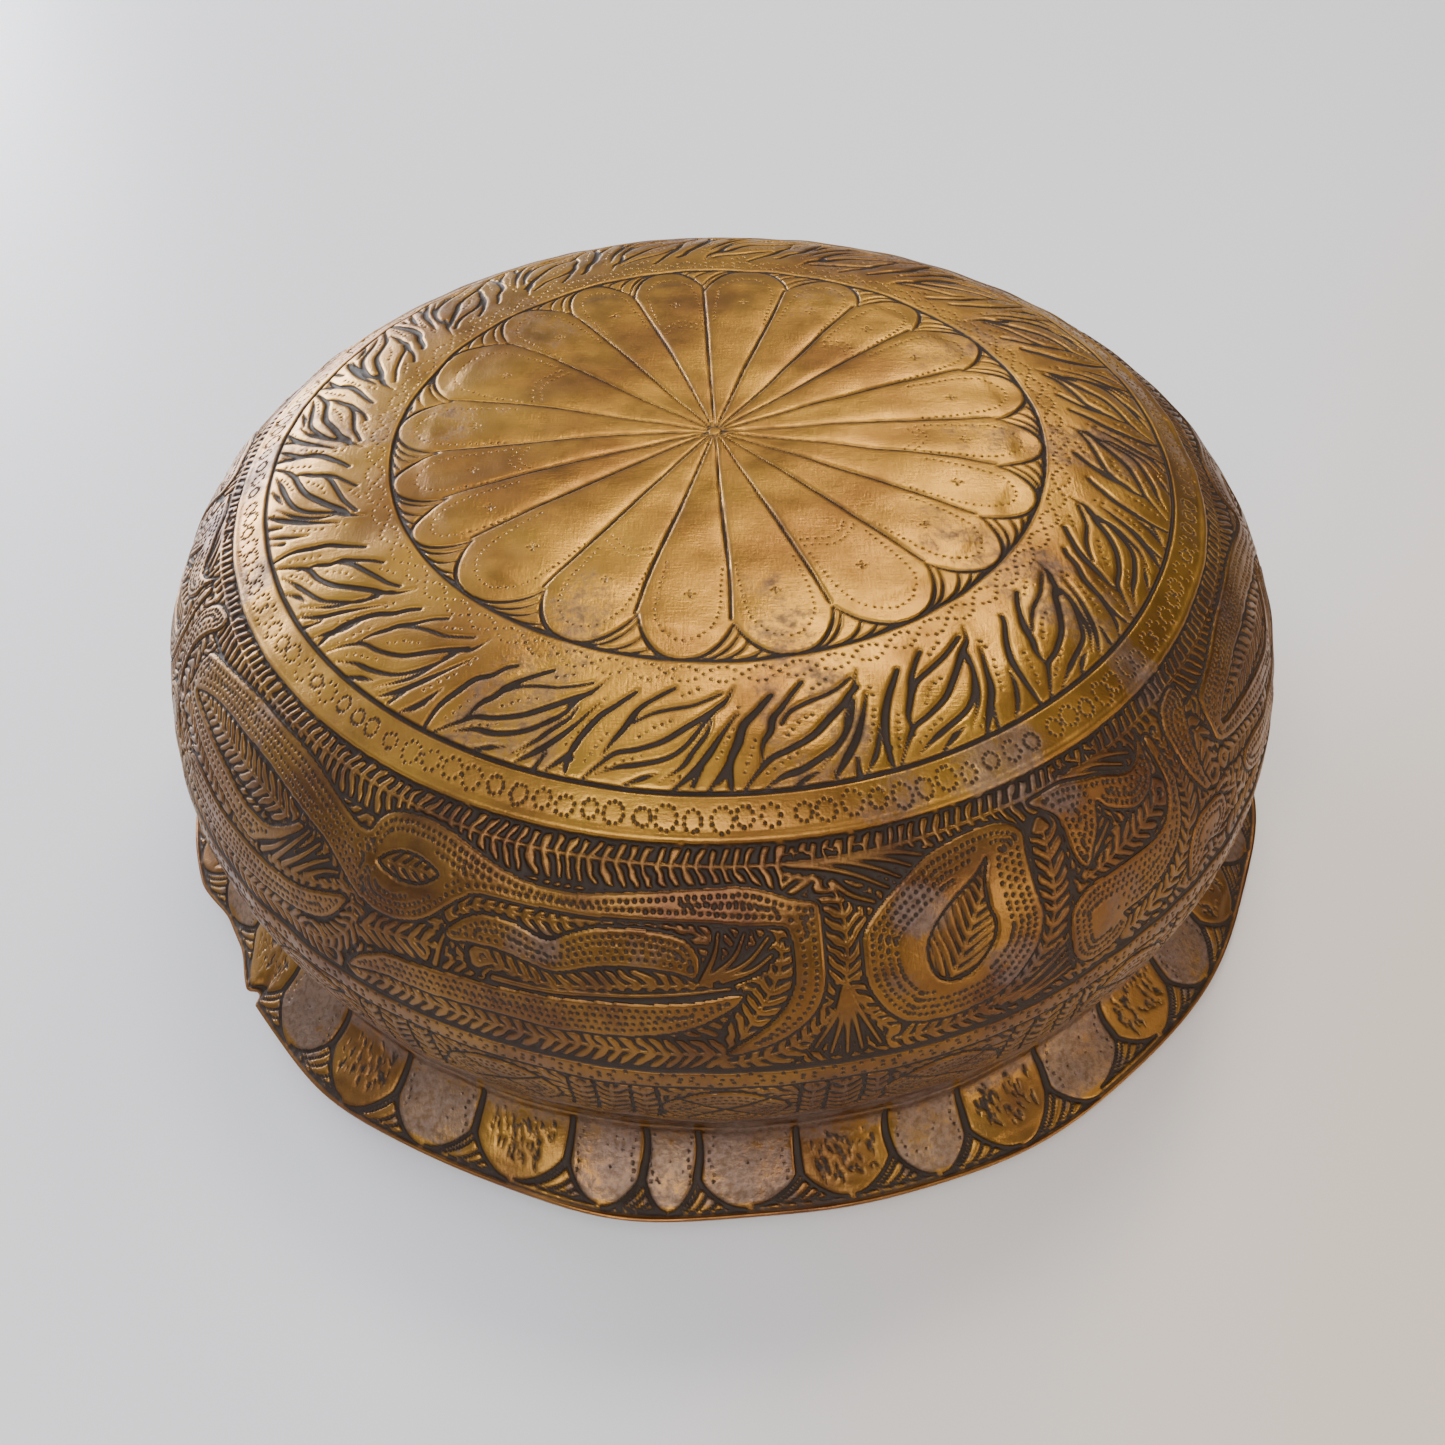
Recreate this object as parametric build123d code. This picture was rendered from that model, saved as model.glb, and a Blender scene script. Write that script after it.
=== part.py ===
from build123d import *
from math import asin, degrees
import os

# Masala dabba (spice box) in brass: an engraved domed cover that drops over a shallow tinned base with
# seven katoris, an inner lid and a spoon. Millimetres, +Z up, origin on the table at the box's centre line.

# Cover: one raised sheet. Radii and heights are those of its outer face.
sheet = 1.2
crown_height = 81.7
rosette_radius = 57.5
rosette_height = 80.8
leaf_band_radius = 80.0
leaf_band_height = 75.9
shoulder_radius = 86.4
shoulder_height = 72.1
belly = [(91.4, 68.8), (95.3, 64.9), (99.7, 58.0), (102.6, 51.0), (104.4, 43.8), (105.3, 36.7), (104.4, 29.6)]
belly_foot = (102.2, 22.6)
waist_radius = 99.4
waist_top = 16.6
waist_bottom = 13.4
flange_cove = [(101.3, 10.0), (104.8, 7.0)]
flange_radius = 110.0
flange_height = 3.7
profile_samples = 44

# Bezel soldered inside the waist; its lower edge is what the cover stands on
bezel_sheet = 1.4
bezel_bottom = 9.0
bezel_top = 16.0

# Base pan, its foot ring and the ledge the bezel stands on
bezel_gap = 0.4
pan_radius = waist_radius - sheet - bezel_sheet - bezel_gap
pan_wall = 1.2
pan_bottom = 3.0
pan_top = 48.0
pan_corner = 4.0
foot_outer = 92.0
foot_inner = 88.4
seat_radius = 98.9
seat_thickness = 2.0

# Seven katoris: one in the centre, six round it
cup_radius = 30.8
cup_wall_radius = 29.4
cup_foot_radius = 26.6
cup_height = 40.0
cup_sheet = 0.8
cup_corner = 6.0
cup_lip = 1.6
cup_pitch = 62.8
cup_floor = pan_bottom + pan_wall
outer_cups = 6

# Inner lid, held just above the cup rims
lid_gap = 0.3
lid_sheet = 1.0
lid_radius = 93.8
lid_band = 1.0
lid_band_height = 3.0
lid_bottom = cup_floor + cup_height + lid_gap
rivet_radius = 2.0
rivet_play = 0.05
rivet_head_radius = 4.0
rivet_head = 1.2
rivet_grip = 9.0
washer_radius = 10.5
washer_thickness = 0.8
knob_height = 14.0
knob_radius = 8.5

# Spoon, lying on the inner lid beside the knob
spoon_y = -45.0
spoon_bowl_x = -38.0
bowl_radius = 12.0
bowl_depth = 9.0
bowl_sheet = 0.8
handle_length = 84.0
handle_width = 6.0
handle_tail_width = 9.0
handle_sheet = 1.2
tab_length = 15.0
tab_width = 6.0
handle_drop = 5.0
spoon_rivet_radius = 1.0
spoon_rivet_head = 0.6
spoon_rivet_spacing = 7.0


def on_axis_plane(point):
    radius, height = point
    return Vector(radius, 0, height)


def revolved(edges):
    """A ring or bowl from the edges of its half section, joined end to end."""
    return revolve(Face(Wire(edges)), Axis.Z)


def closed_line(points, radii):
    """A half section with one corner radius for each corner between its first and last point."""
    path = FilletPolyline(*[on_axis_plane(point) for point in points], radius=radii)
    return [*path.edges(), Line(path @ 1, path @ 0).edge()]


def ring(inner, outer, bottom, top):
    section = [(inner, bottom), (outer, bottom), (outer, top), (inner, top), (inner, bottom)]
    return revolved(Polyline(*[on_axis_plane(point) for point in section]).edges())


def node(shape, name):
    export_step(shape, f"parts/{name}.step")


def outer_face_of_cover():
    """The cover's outer half section: crown, belly, waist and flange."""
    crown = Spline(
        *[on_axis_plane(point) for point in [
            (0, crown_height), (rosette_radius, rosette_height),
            (leaf_band_radius, leaf_band_height), (shoulder_radius, shoulder_height)]],
        tangents=[(1, 0, 0), (0.80, 0, -0.60)])
    side = Spline(
        *[on_axis_plane(point) for point in [(shoulder_radius, shoulder_height), *belly, belly_foot,
                                             (waist_radius, waist_top)]],
        tangents=[(0.82, 0, -0.57), (0, 0, -1)])
    waist = Line(side @ 1, on_axis_plane((waist_radius, waist_bottom)))
    flange = Spline(
        *[on_axis_plane(point) for point in [(waist_radius, waist_bottom), *flange_cove,
                                             (flange_radius, flange_height)]],
        tangents=[(0, 0, -1), (0.86, 0, -0.51)])
    return [crown, side, waist, flange]


def inner_face(outer, samples):
    """The same run one sheet thickness inside the outer face."""
    points = []
    for step in range(samples + 1):
        along = outer.tangent_at(step / samples)
        inward = Vector(along.Z, 0, -along.X)
        points.append(outer.position_at(step / samples) + inward * sheet)
    start, end = outer.tangent_at(0), outer.tangent_at(1)
    return Spline(*points, tangents=[start, end])


def cover_shell():
    crown, side, waist, flange = outer_face_of_cover()
    in_crown = inner_face(crown, profile_samples // 4)
    in_side = inner_face(side, profile_samples // 2)
    in_waist = Line(on_axis_plane((waist_radius - sheet, waist_top)),
                    on_axis_plane((waist_radius - sheet, waist_bottom)))
    in_flange = inner_face(flange, profile_samples // 4)
    step = Line(in_crown @ 1, in_side @ 0)
    rim = Line(flange @ 1, in_flange @ 1)
    axis = Line(in_crown @ 0, crown @ 0)
    run = [crown, side, waist, flange, rim, in_flange, in_waist, in_side, step, in_crown, axis]
    return revolved([part.edge() for part in run])


def base_pan():
    floor = pan_bottom + pan_wall
    inner = pan_radius - pan_wall
    section = [(0, pan_bottom), (pan_radius, pan_bottom), (pan_radius, pan_top), (inner, pan_top),
               (inner, floor), (0, floor)]
    return revolved(closed_line(section, [pan_corner, 0.5, 0.5, pan_corner - pan_wall]))


def cup():
    """A katori: flat bottom, rounded corner, flared wall and a rolled lip, standing on z = 0."""
    lip_bottom = cup_height - cup_lip
    inner_foot = cup_foot_radius - cup_sheet
    section = [(0, 0), (cup_foot_radius, 0), (cup_wall_radius, lip_bottom), (cup_radius, lip_bottom),
               (cup_radius, cup_height), (cup_wall_radius - cup_sheet, cup_height),
               (inner_foot, cup_sheet), (0, cup_sheet)]
    radii = [cup_corner, 0.3, 0.6, 0.6, 0.5, cup_corner - cup_sheet]
    return revolved(closed_line(section, radii))


def drilled(shape, radius, bottom, top):
    drill = Cylinder(radius, top - bottom, align=(Align.CENTER, Align.CENTER, Align.MIN))
    return shape - Pos(0, 0, bottom) * drill


def inner_lid():
    top = lid_bottom + lid_sheet
    return drilled(ring(0, lid_radius, lid_bottom, top), rivet_radius + rivet_play, lid_bottom, top)


def inner_lid_band():
    return ring(lid_radius, lid_radius + lid_band, lid_bottom, lid_bottom + lid_band_height)


def knob_washer():
    bottom = lid_bottom + lid_sheet
    plain = ring(0, washer_radius, bottom, bottom + washer_thickness)
    return drilled(plain, rivet_radius + rivet_play, bottom, bottom + washer_thickness)


def inner_lid_knob():
    """A turned knob: waisted stem under a flattened ball with a small finial."""
    bottom = lid_bottom + lid_sheet + washer_thickness
    outline = [(6.4, 0), (6.2, 1.2), (3.6, 3.4), (4.6, 5.2), (knob_radius, 8.0), (7.4, 10.8), (2.6, 12.4)]
    curve = Spline(*[Vector(radius, 0, bottom + height) for radius, height in outline],
                   (0, 0, bottom + knob_height))
    base = Line((0, 0, bottom), curve @ 0)
    axis = Line(curve @ 1, (0, 0, bottom))
    plain = revolved([base.edge(), curve.edge(), axis.edge()])
    return drilled(plain, rivet_radius + rivet_play, bottom, bottom + rivet_grip)


def knob_rivet():
    top = lid_bottom + lid_sheet + washer_thickness + rivet_grip
    shank = ring(0, rivet_radius, lid_bottom, top)
    head = ring(0, rivet_head_radius, lid_bottom - rivet_head, lid_bottom)
    return shank + head


def along_handle():
    """Frame at the bowl's rim with +X down the slanting handle."""
    rim = Vector(spoon_bowl_x + bowl_radius, spoon_y, lid_bottom + lid_sheet + lid_gap + bowl_depth)
    slope = degrees(asin(handle_drop / handle_length))
    return Pos(rim.X, rim.Y, rim.Z) * Rot(0, slope, 0)


def spoon_rivet_places():
    first = tab_length / 2 - spoon_rivet_spacing / 2 + 1.5
    return [first, first + spoon_rivet_spacing]


def tab_blank():
    plain = Box(tab_length, tab_width, bowl_sheet, align=(Align.MIN, Align.CENTER, Align.MAX))
    for place in spoon_rivet_places():
        plain -= Pos(place, 0, 0) * Cylinder(spoon_rivet_radius + rivet_play, 4 * bowl_sheet)
    return Pos(-bowl_sheet / 2, 0, 0) * plain


def spoon_bowl():
    bottom = lid_bottom + lid_sheet + lid_gap
    ball = (bowl_radius ** 2 + bowl_depth ** 2) / (2 * bowl_depth)
    skin = Sphere(ball) - Sphere(ball - bowl_sheet)
    above_rim = Pos(0, 0, bowl_depth - ball) * Box(
        4 * ball, 4 * ball, 4 * ball, align=(Align.CENTER, Align.CENTER, Align.MIN))
    bowl = Pos(spoon_bowl_x, spoon_y, bottom + ball) * (skin - above_rim)
    return bowl + along_handle() * tab_blank()


def spoon_handle():
    """A flat strip that widens to a rounded tail."""
    start, end = handle_width / 2, handle_tail_width / 2
    outline = Polyline((1, -start), (handle_length - end, -end), (handle_length - end, end), (1, start),
                       (1, -start))
    strip = extrude(make_face(outline.edges()), handle_sheet)
    strip += Pos(handle_length - end, 0, 0) * Cylinder(
        end, handle_sheet, align=(Align.CENTER, Align.CENTER, Align.MIN))
    for place in spoon_rivet_places():
        strip -= Pos(place - bowl_sheet / 2, 0, 0) * Cylinder(
            spoon_rivet_radius + rivet_play, 4 * handle_sheet)
    return along_handle() * strip


def spoon_rivets():
    low = -bowl_sheet - spoon_rivet_head
    high = handle_sheet + spoon_rivet_head
    rivet = ring(0, spoon_rivet_radius, low, high)
    rivet += ring(0, 2 * spoon_rivet_radius, low, low + spoon_rivet_head)
    rivet += ring(0, 2 * spoon_rivet_radius, high - spoon_rivet_head, high)
    return Compound([along_handle() * Pos(place - bowl_sheet / 2, 0, 0) * rivet
                     for place in spoon_rivet_places()])


os.makedirs("parts", exist_ok=True)

node(cover_shell(), "cover_shell")
node(ring(waist_radius - sheet - bezel_sheet, waist_radius - sheet, bezel_bottom, bezel_top), "cover_bezel")

node(base_pan(), "base_pan")
node(ring(foot_inner, foot_outer, 0, pan_bottom), "base_foot_ring")
node(ring(pan_radius, seat_radius, bezel_bottom - seat_thickness, bezel_bottom), "base_seat_ring")

node(Pos(0, 0, cup_floor) * cup(), "centre_cup")
for number, place in enumerate(PolarLocations(cup_pitch, outer_cups), start=1):
    node(Pos(0, 0, cup_floor) * place * cup(), f"outer_cup_{number}")

node(inner_lid(), "inner_lid")
node(inner_lid_band(), "inner_lid_band")
node(inner_lid_knob(), "inner_lid_knob")
node(knob_washer(), "knob_washer")
node(knob_rivet(), "knob_rivet")

node(spoon_bowl(), "spoon_bowl")
node(spoon_handle(), "spoon_handle")
node(spoon_rivets(), "spoon_rivets")
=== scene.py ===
import math

import bmesh
import bpy
import numpy as np
from mathutils import Matrix, Vector


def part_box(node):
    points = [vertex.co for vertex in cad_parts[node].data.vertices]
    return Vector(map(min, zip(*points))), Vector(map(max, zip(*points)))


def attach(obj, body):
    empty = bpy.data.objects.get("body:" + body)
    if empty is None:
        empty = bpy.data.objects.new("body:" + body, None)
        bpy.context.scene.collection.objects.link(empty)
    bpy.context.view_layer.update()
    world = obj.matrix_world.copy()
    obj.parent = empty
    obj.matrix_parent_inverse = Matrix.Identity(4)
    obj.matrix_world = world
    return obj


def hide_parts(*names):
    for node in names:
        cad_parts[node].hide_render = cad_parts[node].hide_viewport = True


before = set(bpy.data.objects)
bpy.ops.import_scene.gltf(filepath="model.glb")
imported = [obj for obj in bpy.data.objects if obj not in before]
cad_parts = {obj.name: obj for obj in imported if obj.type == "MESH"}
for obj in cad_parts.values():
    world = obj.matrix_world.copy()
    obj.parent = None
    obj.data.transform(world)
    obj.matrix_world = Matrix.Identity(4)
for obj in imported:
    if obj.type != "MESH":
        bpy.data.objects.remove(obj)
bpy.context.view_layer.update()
mm = 0.001
turn = 2 * math.pi
random = np.random.default_rng(11)
print("frame loaded:", len(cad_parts), "nodes")


def splineThrough(points, start, end, steps=40):
    # cubic spline through the points with a given direction at each end, stepped by chord length
    p = np.array(points, float)
    h = np.linalg.norm(np.diff(p, axis=0), axis=1)
    n = len(p)
    a, b = np.zeros((n, n)), np.zeros((n, 2))
    a[0, 0] = a[-1, -1] = 1
    b[0], b[-1] = Vector(start).normalized(), Vector(end).normalized()
    for i in range(1, n - 1):
        a[i, i - 1], a[i, i], a[i, i + 1] = h[i], 2 * (h[i - 1] + h[i]), h[i - 1]
        b[i] = 3 * (h[i] / h[i - 1] * (p[i] - p[i - 1]) + h[i - 1] / h[i] * (p[i + 1] - p[i]))
    m = np.linalg.solve(a, b)
    t = np.linspace(0, 1, steps, endpoint=False)[:, None]
    spans = [(2 * t**3 - 3 * t**2 + 1) * p[i] + (t**3 - 2 * t**2 + t) * h[i] * m[i]
             + (3 * t**2 - 2 * t**3) * p[i + 1] + (t**3 - t**2) * h[i] * m[i + 1] for i in range(n - 1)]
    return np.vstack(spans + [p[-1:]])


def softLine(points, closed=False, steps=5):
    # Catmull-Rom line through the given points
    p = np.array(points, float)
    if len(p) < 3 and not closed:
        return p
    ext = np.vstack([p[-1:], p, p[:2]]) if closed else np.vstack([2 * p[0] - p[1], p, 2 * p[-1] - p[-2]])
    t = np.linspace(0, 1, steps, endpoint=False)[:, None]
    out = []
    for i in range(len(ext) - 3):
        a, b, c, d = ext[i:i + 4]
        square, cube = 2 * a - 5 * b + 4 * c - d, 3 * b - a - 3 * c + d
        out.append(0.5 * (2 * b + (c - a) * t + square * t**2 + cube * t**3))
    out = np.vstack(out)
    return np.vstack([out, out[:1] if closed else p[-1:]])


def lengths(line):
    return np.concatenate([[0], np.cumsum(np.linalg.norm(np.diff(line, axis=0), axis=1))])


def walk(line, pitch, start=0.0):
    # points at a steady pitch along a line, with their directions
    s = lengths(line)
    at = np.arange(start, s[-1], pitch)
    x, y = np.interp(at, s, line[:, 0]), np.interp(at, s, line[:, 1])
    step = 0.3  # either side of the point, to find its direction
    dx = np.interp(at + step, s, line[:, 0]) - np.interp(at - step, s, line[:, 0])
    dy = np.interp(at + step, s, line[:, 1]) - np.interp(at - step, s, line[:, 1])
    size = np.hypot(dx, dy) + 1e-9
    return np.stack([x, y], 1), np.stack([dx / size, dy / size], 1)


def ripple(points, wave, seed):
    # smooth hand-made unevenness, about -1 to 1, from waves crossing at random
    count = 22
    r = np.random.default_rng(seed)
    total = np.zeros(len(points))
    for _ in range(count):
        d = r.normal(size=points.shape[1])
        d *= turn / (wave * r.uniform(0.7, 1.6) * np.linalg.norm(d))
        total += np.cos(points @ d + r.uniform(0, turn))
    return total / math.sqrt(count)


def smooth(x, low, high):
    t = np.clip((x - low) / (high - low), 0, 1)
    return t * t * (3 - 2 * t)


# the cover's outer face in millimetres, as (radius, height); distances along it start at the shoulder
cover = {"crown": [(0, 81.7), (57.5, 80.8), (80.0, 75.9), (86.4, 72.1)],
         "side": [(86.4, 72.1), (91.4, 68.8), (95.3, 64.9), (99.7, 58.0), (102.6, 51.0), (104.4, 43.8),
                  (105.3, 36.7), (104.4, 29.6), (102.2, 22.6), (99.4, 16.6)],
         "flange": [(99.4, 13.4), (101.3, 10.0), (104.8, 7.0), (110.0, 3.7)],
         "sheet": 1.2, "waist": 3.2, "sideRadius": 103.0, "flangeRadius": 104.0}
sideSheets = 6

crown = splineThrough(cover["crown"], (1, 0), (0.80, -0.60))
side = splineThrough(cover["side"], (0.82, -0.57), (0, -1))
flare = splineThrough(cover["flange"], (0, -1), (0.86, -0.51))
face = np.vstack([crown, side[1:], flare])
faceAlong = lengths(face) - lengths(crown)[-1]
tangent = np.gradient(face, faceAlong, axis=0)
tangent /= np.linalg.norm(tangent, axis=1)[:, None]
waistTop = lengths(side)[-1]
waistLow = waistTop + cover["waist"]
flangeEnd = faceAlong[-1]


def faceAt(v):
    r, z = (np.interp(v, faceAlong, face[:, k]) for k in (0, 1))
    tr, tz = (np.interp(v, faceAlong, tangent[:, k]) for k in (0, 1))
    return r, z, -tz, tr  # the last two point outwards


def alongOfRadius(r):
    return np.interp(r, crown[:, 0], lengths(crown) - lengths(crown)[-1])


def placeOn(theta, v, lift):
    # points on the cover's face, lifted outwards by that many millimetres
    r, z, nr, nz = faceAt(v)
    r, z = r + nr * lift, z + nz * lift
    return np.stack([r * np.cos(theta), r * np.sin(theta), z], 1)


# slanting strokes of the ground: how far apart, how deep a row of them, and their slope
ground = {"pitch": 2.15, "row": 2.9, "slope": 0.85}


class Plate:
    # a flat drawing of the engraving, in millimetres, as one sheet of numbers per layer
    # cut and dot: how deep inside a groove or a punch mark a spot is, below zero outside it
    # land: how deep inside a raised shape; near and next: how far the two closest shapes are
    # spine: how far the closest thin raised line is, with the run along it for the barbs beside it
    def __init__(self, left, low, right, high, step, wraps=False):
        self.left, self.low, self.step, self.wraps = left, low, step, wraps
        self.nx = int(round((right - left) / step)) + (0 if wraps else 1)
        self.ny = int(round((high - low) / step)) + 1
        if wraps:
            self.step = (right - left) / self.nx
            self.ny = int(round((high - low) / self.step)) + 1
        blank = {"cut": -2.0, "dot": -2.0, "land": -9.0, "near": 9.0, "next": 9.0, "along": 0.0, "lean": 1.0,
                 "spine": 9.0, "run": 0.0, "barbs": 0.0, "way": 1.0, "kept": 0.0, "tin": 0.0, "lift": 0.0}
        self.layers = {k: np.full((self.ny, self.nx), v) for k, v in blank.items()}

    def steps(self, low, high, origin):
        # the rows or columns from low to high
        return np.arange(math.floor((low - origin) / self.step), math.ceil((high - origin) / self.step) + 1)

    def window(self, points, pad):
        low, high = points.min(0) - pad, points.max(0) + pad
        cols, rows = self.steps(low[0], high[0], self.left), self.steps(low[1], high[1], self.low)
        rows = rows[(rows >= 0) & (rows < self.ny)]
        if not self.wraps:
            cols = cols[(cols >= 0) & (cols < self.nx)]
        x, y = self.left + cols * self.step, self.low + rows * self.step
        return np.ix_(rows, cols % self.nx), x[None, :], y[:, None]

    def grid(self):
        x = self.left + np.arange(self.nx) * self.step
        y = self.low + np.arange(self.ny) * self.step
        return np.meshgrid(x, y)

    def stroke(self, path, widths):
        # a groove along a path, as wide as that in turn
        line = softLine(path, steps=4)
        half = np.interp(np.linspace(0, 1, len(line)), np.linspace(0, 1, len(widths)), widths) / 2
        where, x, y = self.window(line, half.max() + 0.8)
        best = np.full((y.size, x.size), -2.0)
        for (ax, ay), (bx, by), ra, rb in zip(line[:-1], line[1:], half[:-1], half[1:]):
            dx, dy = bx - ax, by - ay
            t = np.clip(((x - ax) * dx + (y - ay) * dy) / (dx * dx + dy * dy + 1e-12), 0, 1)
            np.maximum(best, ra + (rb - ra) * t - np.hypot(x - ax - t * dx, y - ay - t * dy), out=best)
        sheet = self.layers["cut"]
        sheet[where] = np.maximum(sheet[where], best)

    def punch(self, points, radius=0.34):
        # one punch mark at each point, each struck a little differently
        sheet = self.layers["dot"]
        for px, py in np.atleast_2d(points):
            r = radius * random.uniform(0.85, 1.15)
            at = np.array([[px, py]]) + random.normal(0, 0.06, 2)
            where, x, y = self.window(at, r + 0.7)
            sheet[where] = np.maximum(sheet[where], r - np.hypot(x - at[0, 0], y - at[0, 1]))

    def measure(self, path, closed, reach, steps):
        # distance from every spot near a line, and how far along the line its closest point is
        line = softLine(path, closed, steps)
        where, x, y = self.window(line, reach)
        best = np.full((y.size, x.size), 99.0)
        run, level = np.zeros_like(best), np.zeros_like(best)
        inside = np.zeros(best.shape, bool)
        s = lengths(line)
        turned = np.unwrap(np.arctan2(*np.diff(line, axis=0).T[::-1]))
        area = np.sum(line[:-1, 0] * line[1:, 1] - line[1:, 0] * line[:-1, 1])
        swing = (1.3 if area > 0 else -1.3) if closed else 0.0
        for i, ((ax, ay), (bx, by)) in enumerate(zip(line[:-1], line[1:])):
            dx, dy = bx - ax, by - ay
            t = np.clip(((x - ax) * dx + (y - ay) * dy) / (dx * dx + dy * dy + 1e-12), 0, 1)
            d = np.hypot(x - ax - t * dx, y - ay - t * dy)
            closer = d < best
            best[closer] = d[closer]
            run[closer] = (s[i] + t * (s[i + 1] - s[i]) + swing * turned[i])[closer]
            level[closer] = 1.0 if dx * 0.94 + dy * 0.34 > 0 else -1.0
            if closed:
                inside ^= ((ay > y) != (by > y)) & (x < (bx - ax) * (y - ay) / (by - ay + 1e-12) + ax)
        return line, where, best, run, level, inside

    def shape(self, path, lean=1, reach=8.0, closed=True, half=0.0, steps=5):
        # a raised shape with that outline
        line, where, best, run, level, inside = self.measure(path, closed, reach, steps)
        signed = np.where(inside, best, -best) if closed else half - best
        layers = self.layers
        layers["land"][where] = np.maximum(layers["land"][where], signed)
        near, old = -signed, layers["near"][where]
        layers["next"][where] = np.minimum(layers["next"][where], np.maximum(near, old))
        closer = near < old
        for key, values in (("near", near), ("along", run), ("lean", lean * level)):
            part = layers[key][where]
            part[closer] = values[closer]
            layers[key][where] = part
        return line

    def spine(self, path, reach, lean=1, half=0.24, steps=5, taper=0.0):
        # a thin raised line over the dark ground, with barbs out to that reach
        line, where, best, run = self.measure(path, False, reach + 1.5, steps)[:4]
        near = best - half * (1 - taper * run / lengths(line)[-1])
        closer = near < self.layers["spine"][where]
        for key, values in (("spine", near), ("run", run), ("barbs", np.full(best.shape, float(reach))),
                            ("way", np.full(best.shape, float(lean)))):
            part = self.layers[key][where]
            part[closer] = values[closer]
            self.layers[key][where] = part

    def sink(self, outline, vein):
        # an opening in a raised shape, with a veined leaf on its dark floor
        right, high = self.left + self.nx * self.step, self.low + (self.ny - 1) * self.step
        other = Plate(self.left, self.low, right, high, self.step, wraps=True)
        other.shape(outline, reach=4)
        inside = other.layers["land"]
        other.spine(vein, 9.0, half=0.26)
        veins = other.feather(2.1, 1.15)
        here = inside > 0
        land, cut = self.layers["land"], self.layers["cut"]
        self.layers["land"] = np.where(inside > -2, np.minimum(land, -inside), land)
        floor = np.maximum(0.42 - inside, veins)
        self.layers["cut"] = np.where(here, np.maximum(cut, floor), cut)
        self.layers["kept"] = np.maximum(self.layers["kept"], here)

    def feather(self, pitch, slope, jitter=0.0):
        # dark ground left between a thin raised line and its barbs
        spine, run, reach, way = (self.layers[k] for k in ("spine", "run", "barbs", "way"))
        deep = np.maximum(spine, 0)
        phase = (run - way * slope * deep) / pitch + jitter
        off = np.abs(phase - np.floor(phase) - 0.5) * pitch / np.hypot(1, slope * way)
        share = np.clip(deep / np.maximum(reach, 0.5), 0, 1)
        width = 0.22 + 0.30 * np.sin(np.pi * np.clip(share * 0.85 + 0.12, 0, 1))
        barbs = np.where(spine < reach, np.maximum(off - width, spine - reach), 1.0)
        return np.minimum(barbs, spine)

    def hatch(self, low, high):
        # the ground: barbs beside the thin lines, and rows of slanting barbs between the other shapes
        pitch, row, slope = ground["pitch"], ground["row"], ground["slope"]
        x, y = self.grid()
        near, nextNear, along, lean = (self.layers[k] for k in ("near", "next", "along", "lean"))
        flat = np.stack([x.ravel(), y.ravel()], 1)
        loose = ripple(flat, 8.0, 5).reshape(x.shape) * 0.16 + ripple(flat, 2.6, 6).reshape(x.shape) * 0.07
        half = np.clip((np.maximum(near, 0) + nextNear) / 2, 0.9, 9)
        rows = np.maximum(1, np.round(half / row))
        row = half / rows
        count = np.floor(np.maximum(near, 0) / row)
        deep = near - count * row
        phase = (along - lean * np.where(count % 2 == 0, 1, -1) * deep * slope) / pitch + loose + 0.37 * count
        off = np.abs(phase - np.floor(phase) - 0.5) * pitch / math.hypot(1, slope)
        width = 0.24 + 0.24 * np.sin(np.pi * np.clip(0.15 + 0.8 * deep / row, 0, 1))
        line = np.abs(near - np.maximum(np.round(near / row), 1) * row) - 0.22
        plain = np.minimum(off - width, line)
        beside = self.feather(pitch, slope, loose)
        dark = np.where(self.layers["spine"] < np.maximum(self.layers["barbs"], 0.4) + 0.3, beside, plain)
        dark = np.maximum(dark, 0.46 - near)
        clear = (self.layers["land"] < 0.3) & (y > low) & (y < high) & (self.layers["kept"] < 0.5)
        dark = np.where(clear, np.minimum(dark, 0.3 - self.layers["land"]), -2.0)
        self.layers["cut"] = np.maximum(self.layers["cut"], dark)

    def stipple(self, line, offsets, pitch=1.2, radius=0.31):
        # punch rows inside an outline, at those distances from it
        area = np.sum(line[:-1, 0] * line[1:, 1] - line[1:, 0] * line[:-1, 1])
        for k, off in enumerate(offsets):
            points, way = walk(line, pitch, pitch * 0.5 * (k % 2))
            normal = np.stack([-way[:, 1], way[:, 0]], 1) * (1 if area > 0 else -1)
            points = points + normal * off
            depth = self.sample(points[:, 0], points[:, 1], "land")
            self.punch(points[np.abs(depth - off) < 0.3 + 0.06 * off], radius)

    def sample(self, x, y, layer):
        # a layer's values at any spots, blended between its four closest numbers
        fx, fy = (x - self.left) / self.step, np.clip((y - self.low) / self.step, 0, self.ny - 1.001)
        if not self.wraps:
            fx = np.clip(fx, 0, self.nx - 1.001)
        ix, iy = np.floor(fx).astype(int), np.floor(fy).astype(int)
        tx, ty = fx - ix, fy - iy
        a = self.layers[layer]
        left, right = ix % self.nx, (ix + 1) % self.nx
        return ((a[iy, left] * (1 - tx) + a[iy, right] * tx) * (1 - ty)
                + (a[iy + 1, left] * (1 - tx) + a[iy + 1, right] * tx) * ty)


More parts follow.
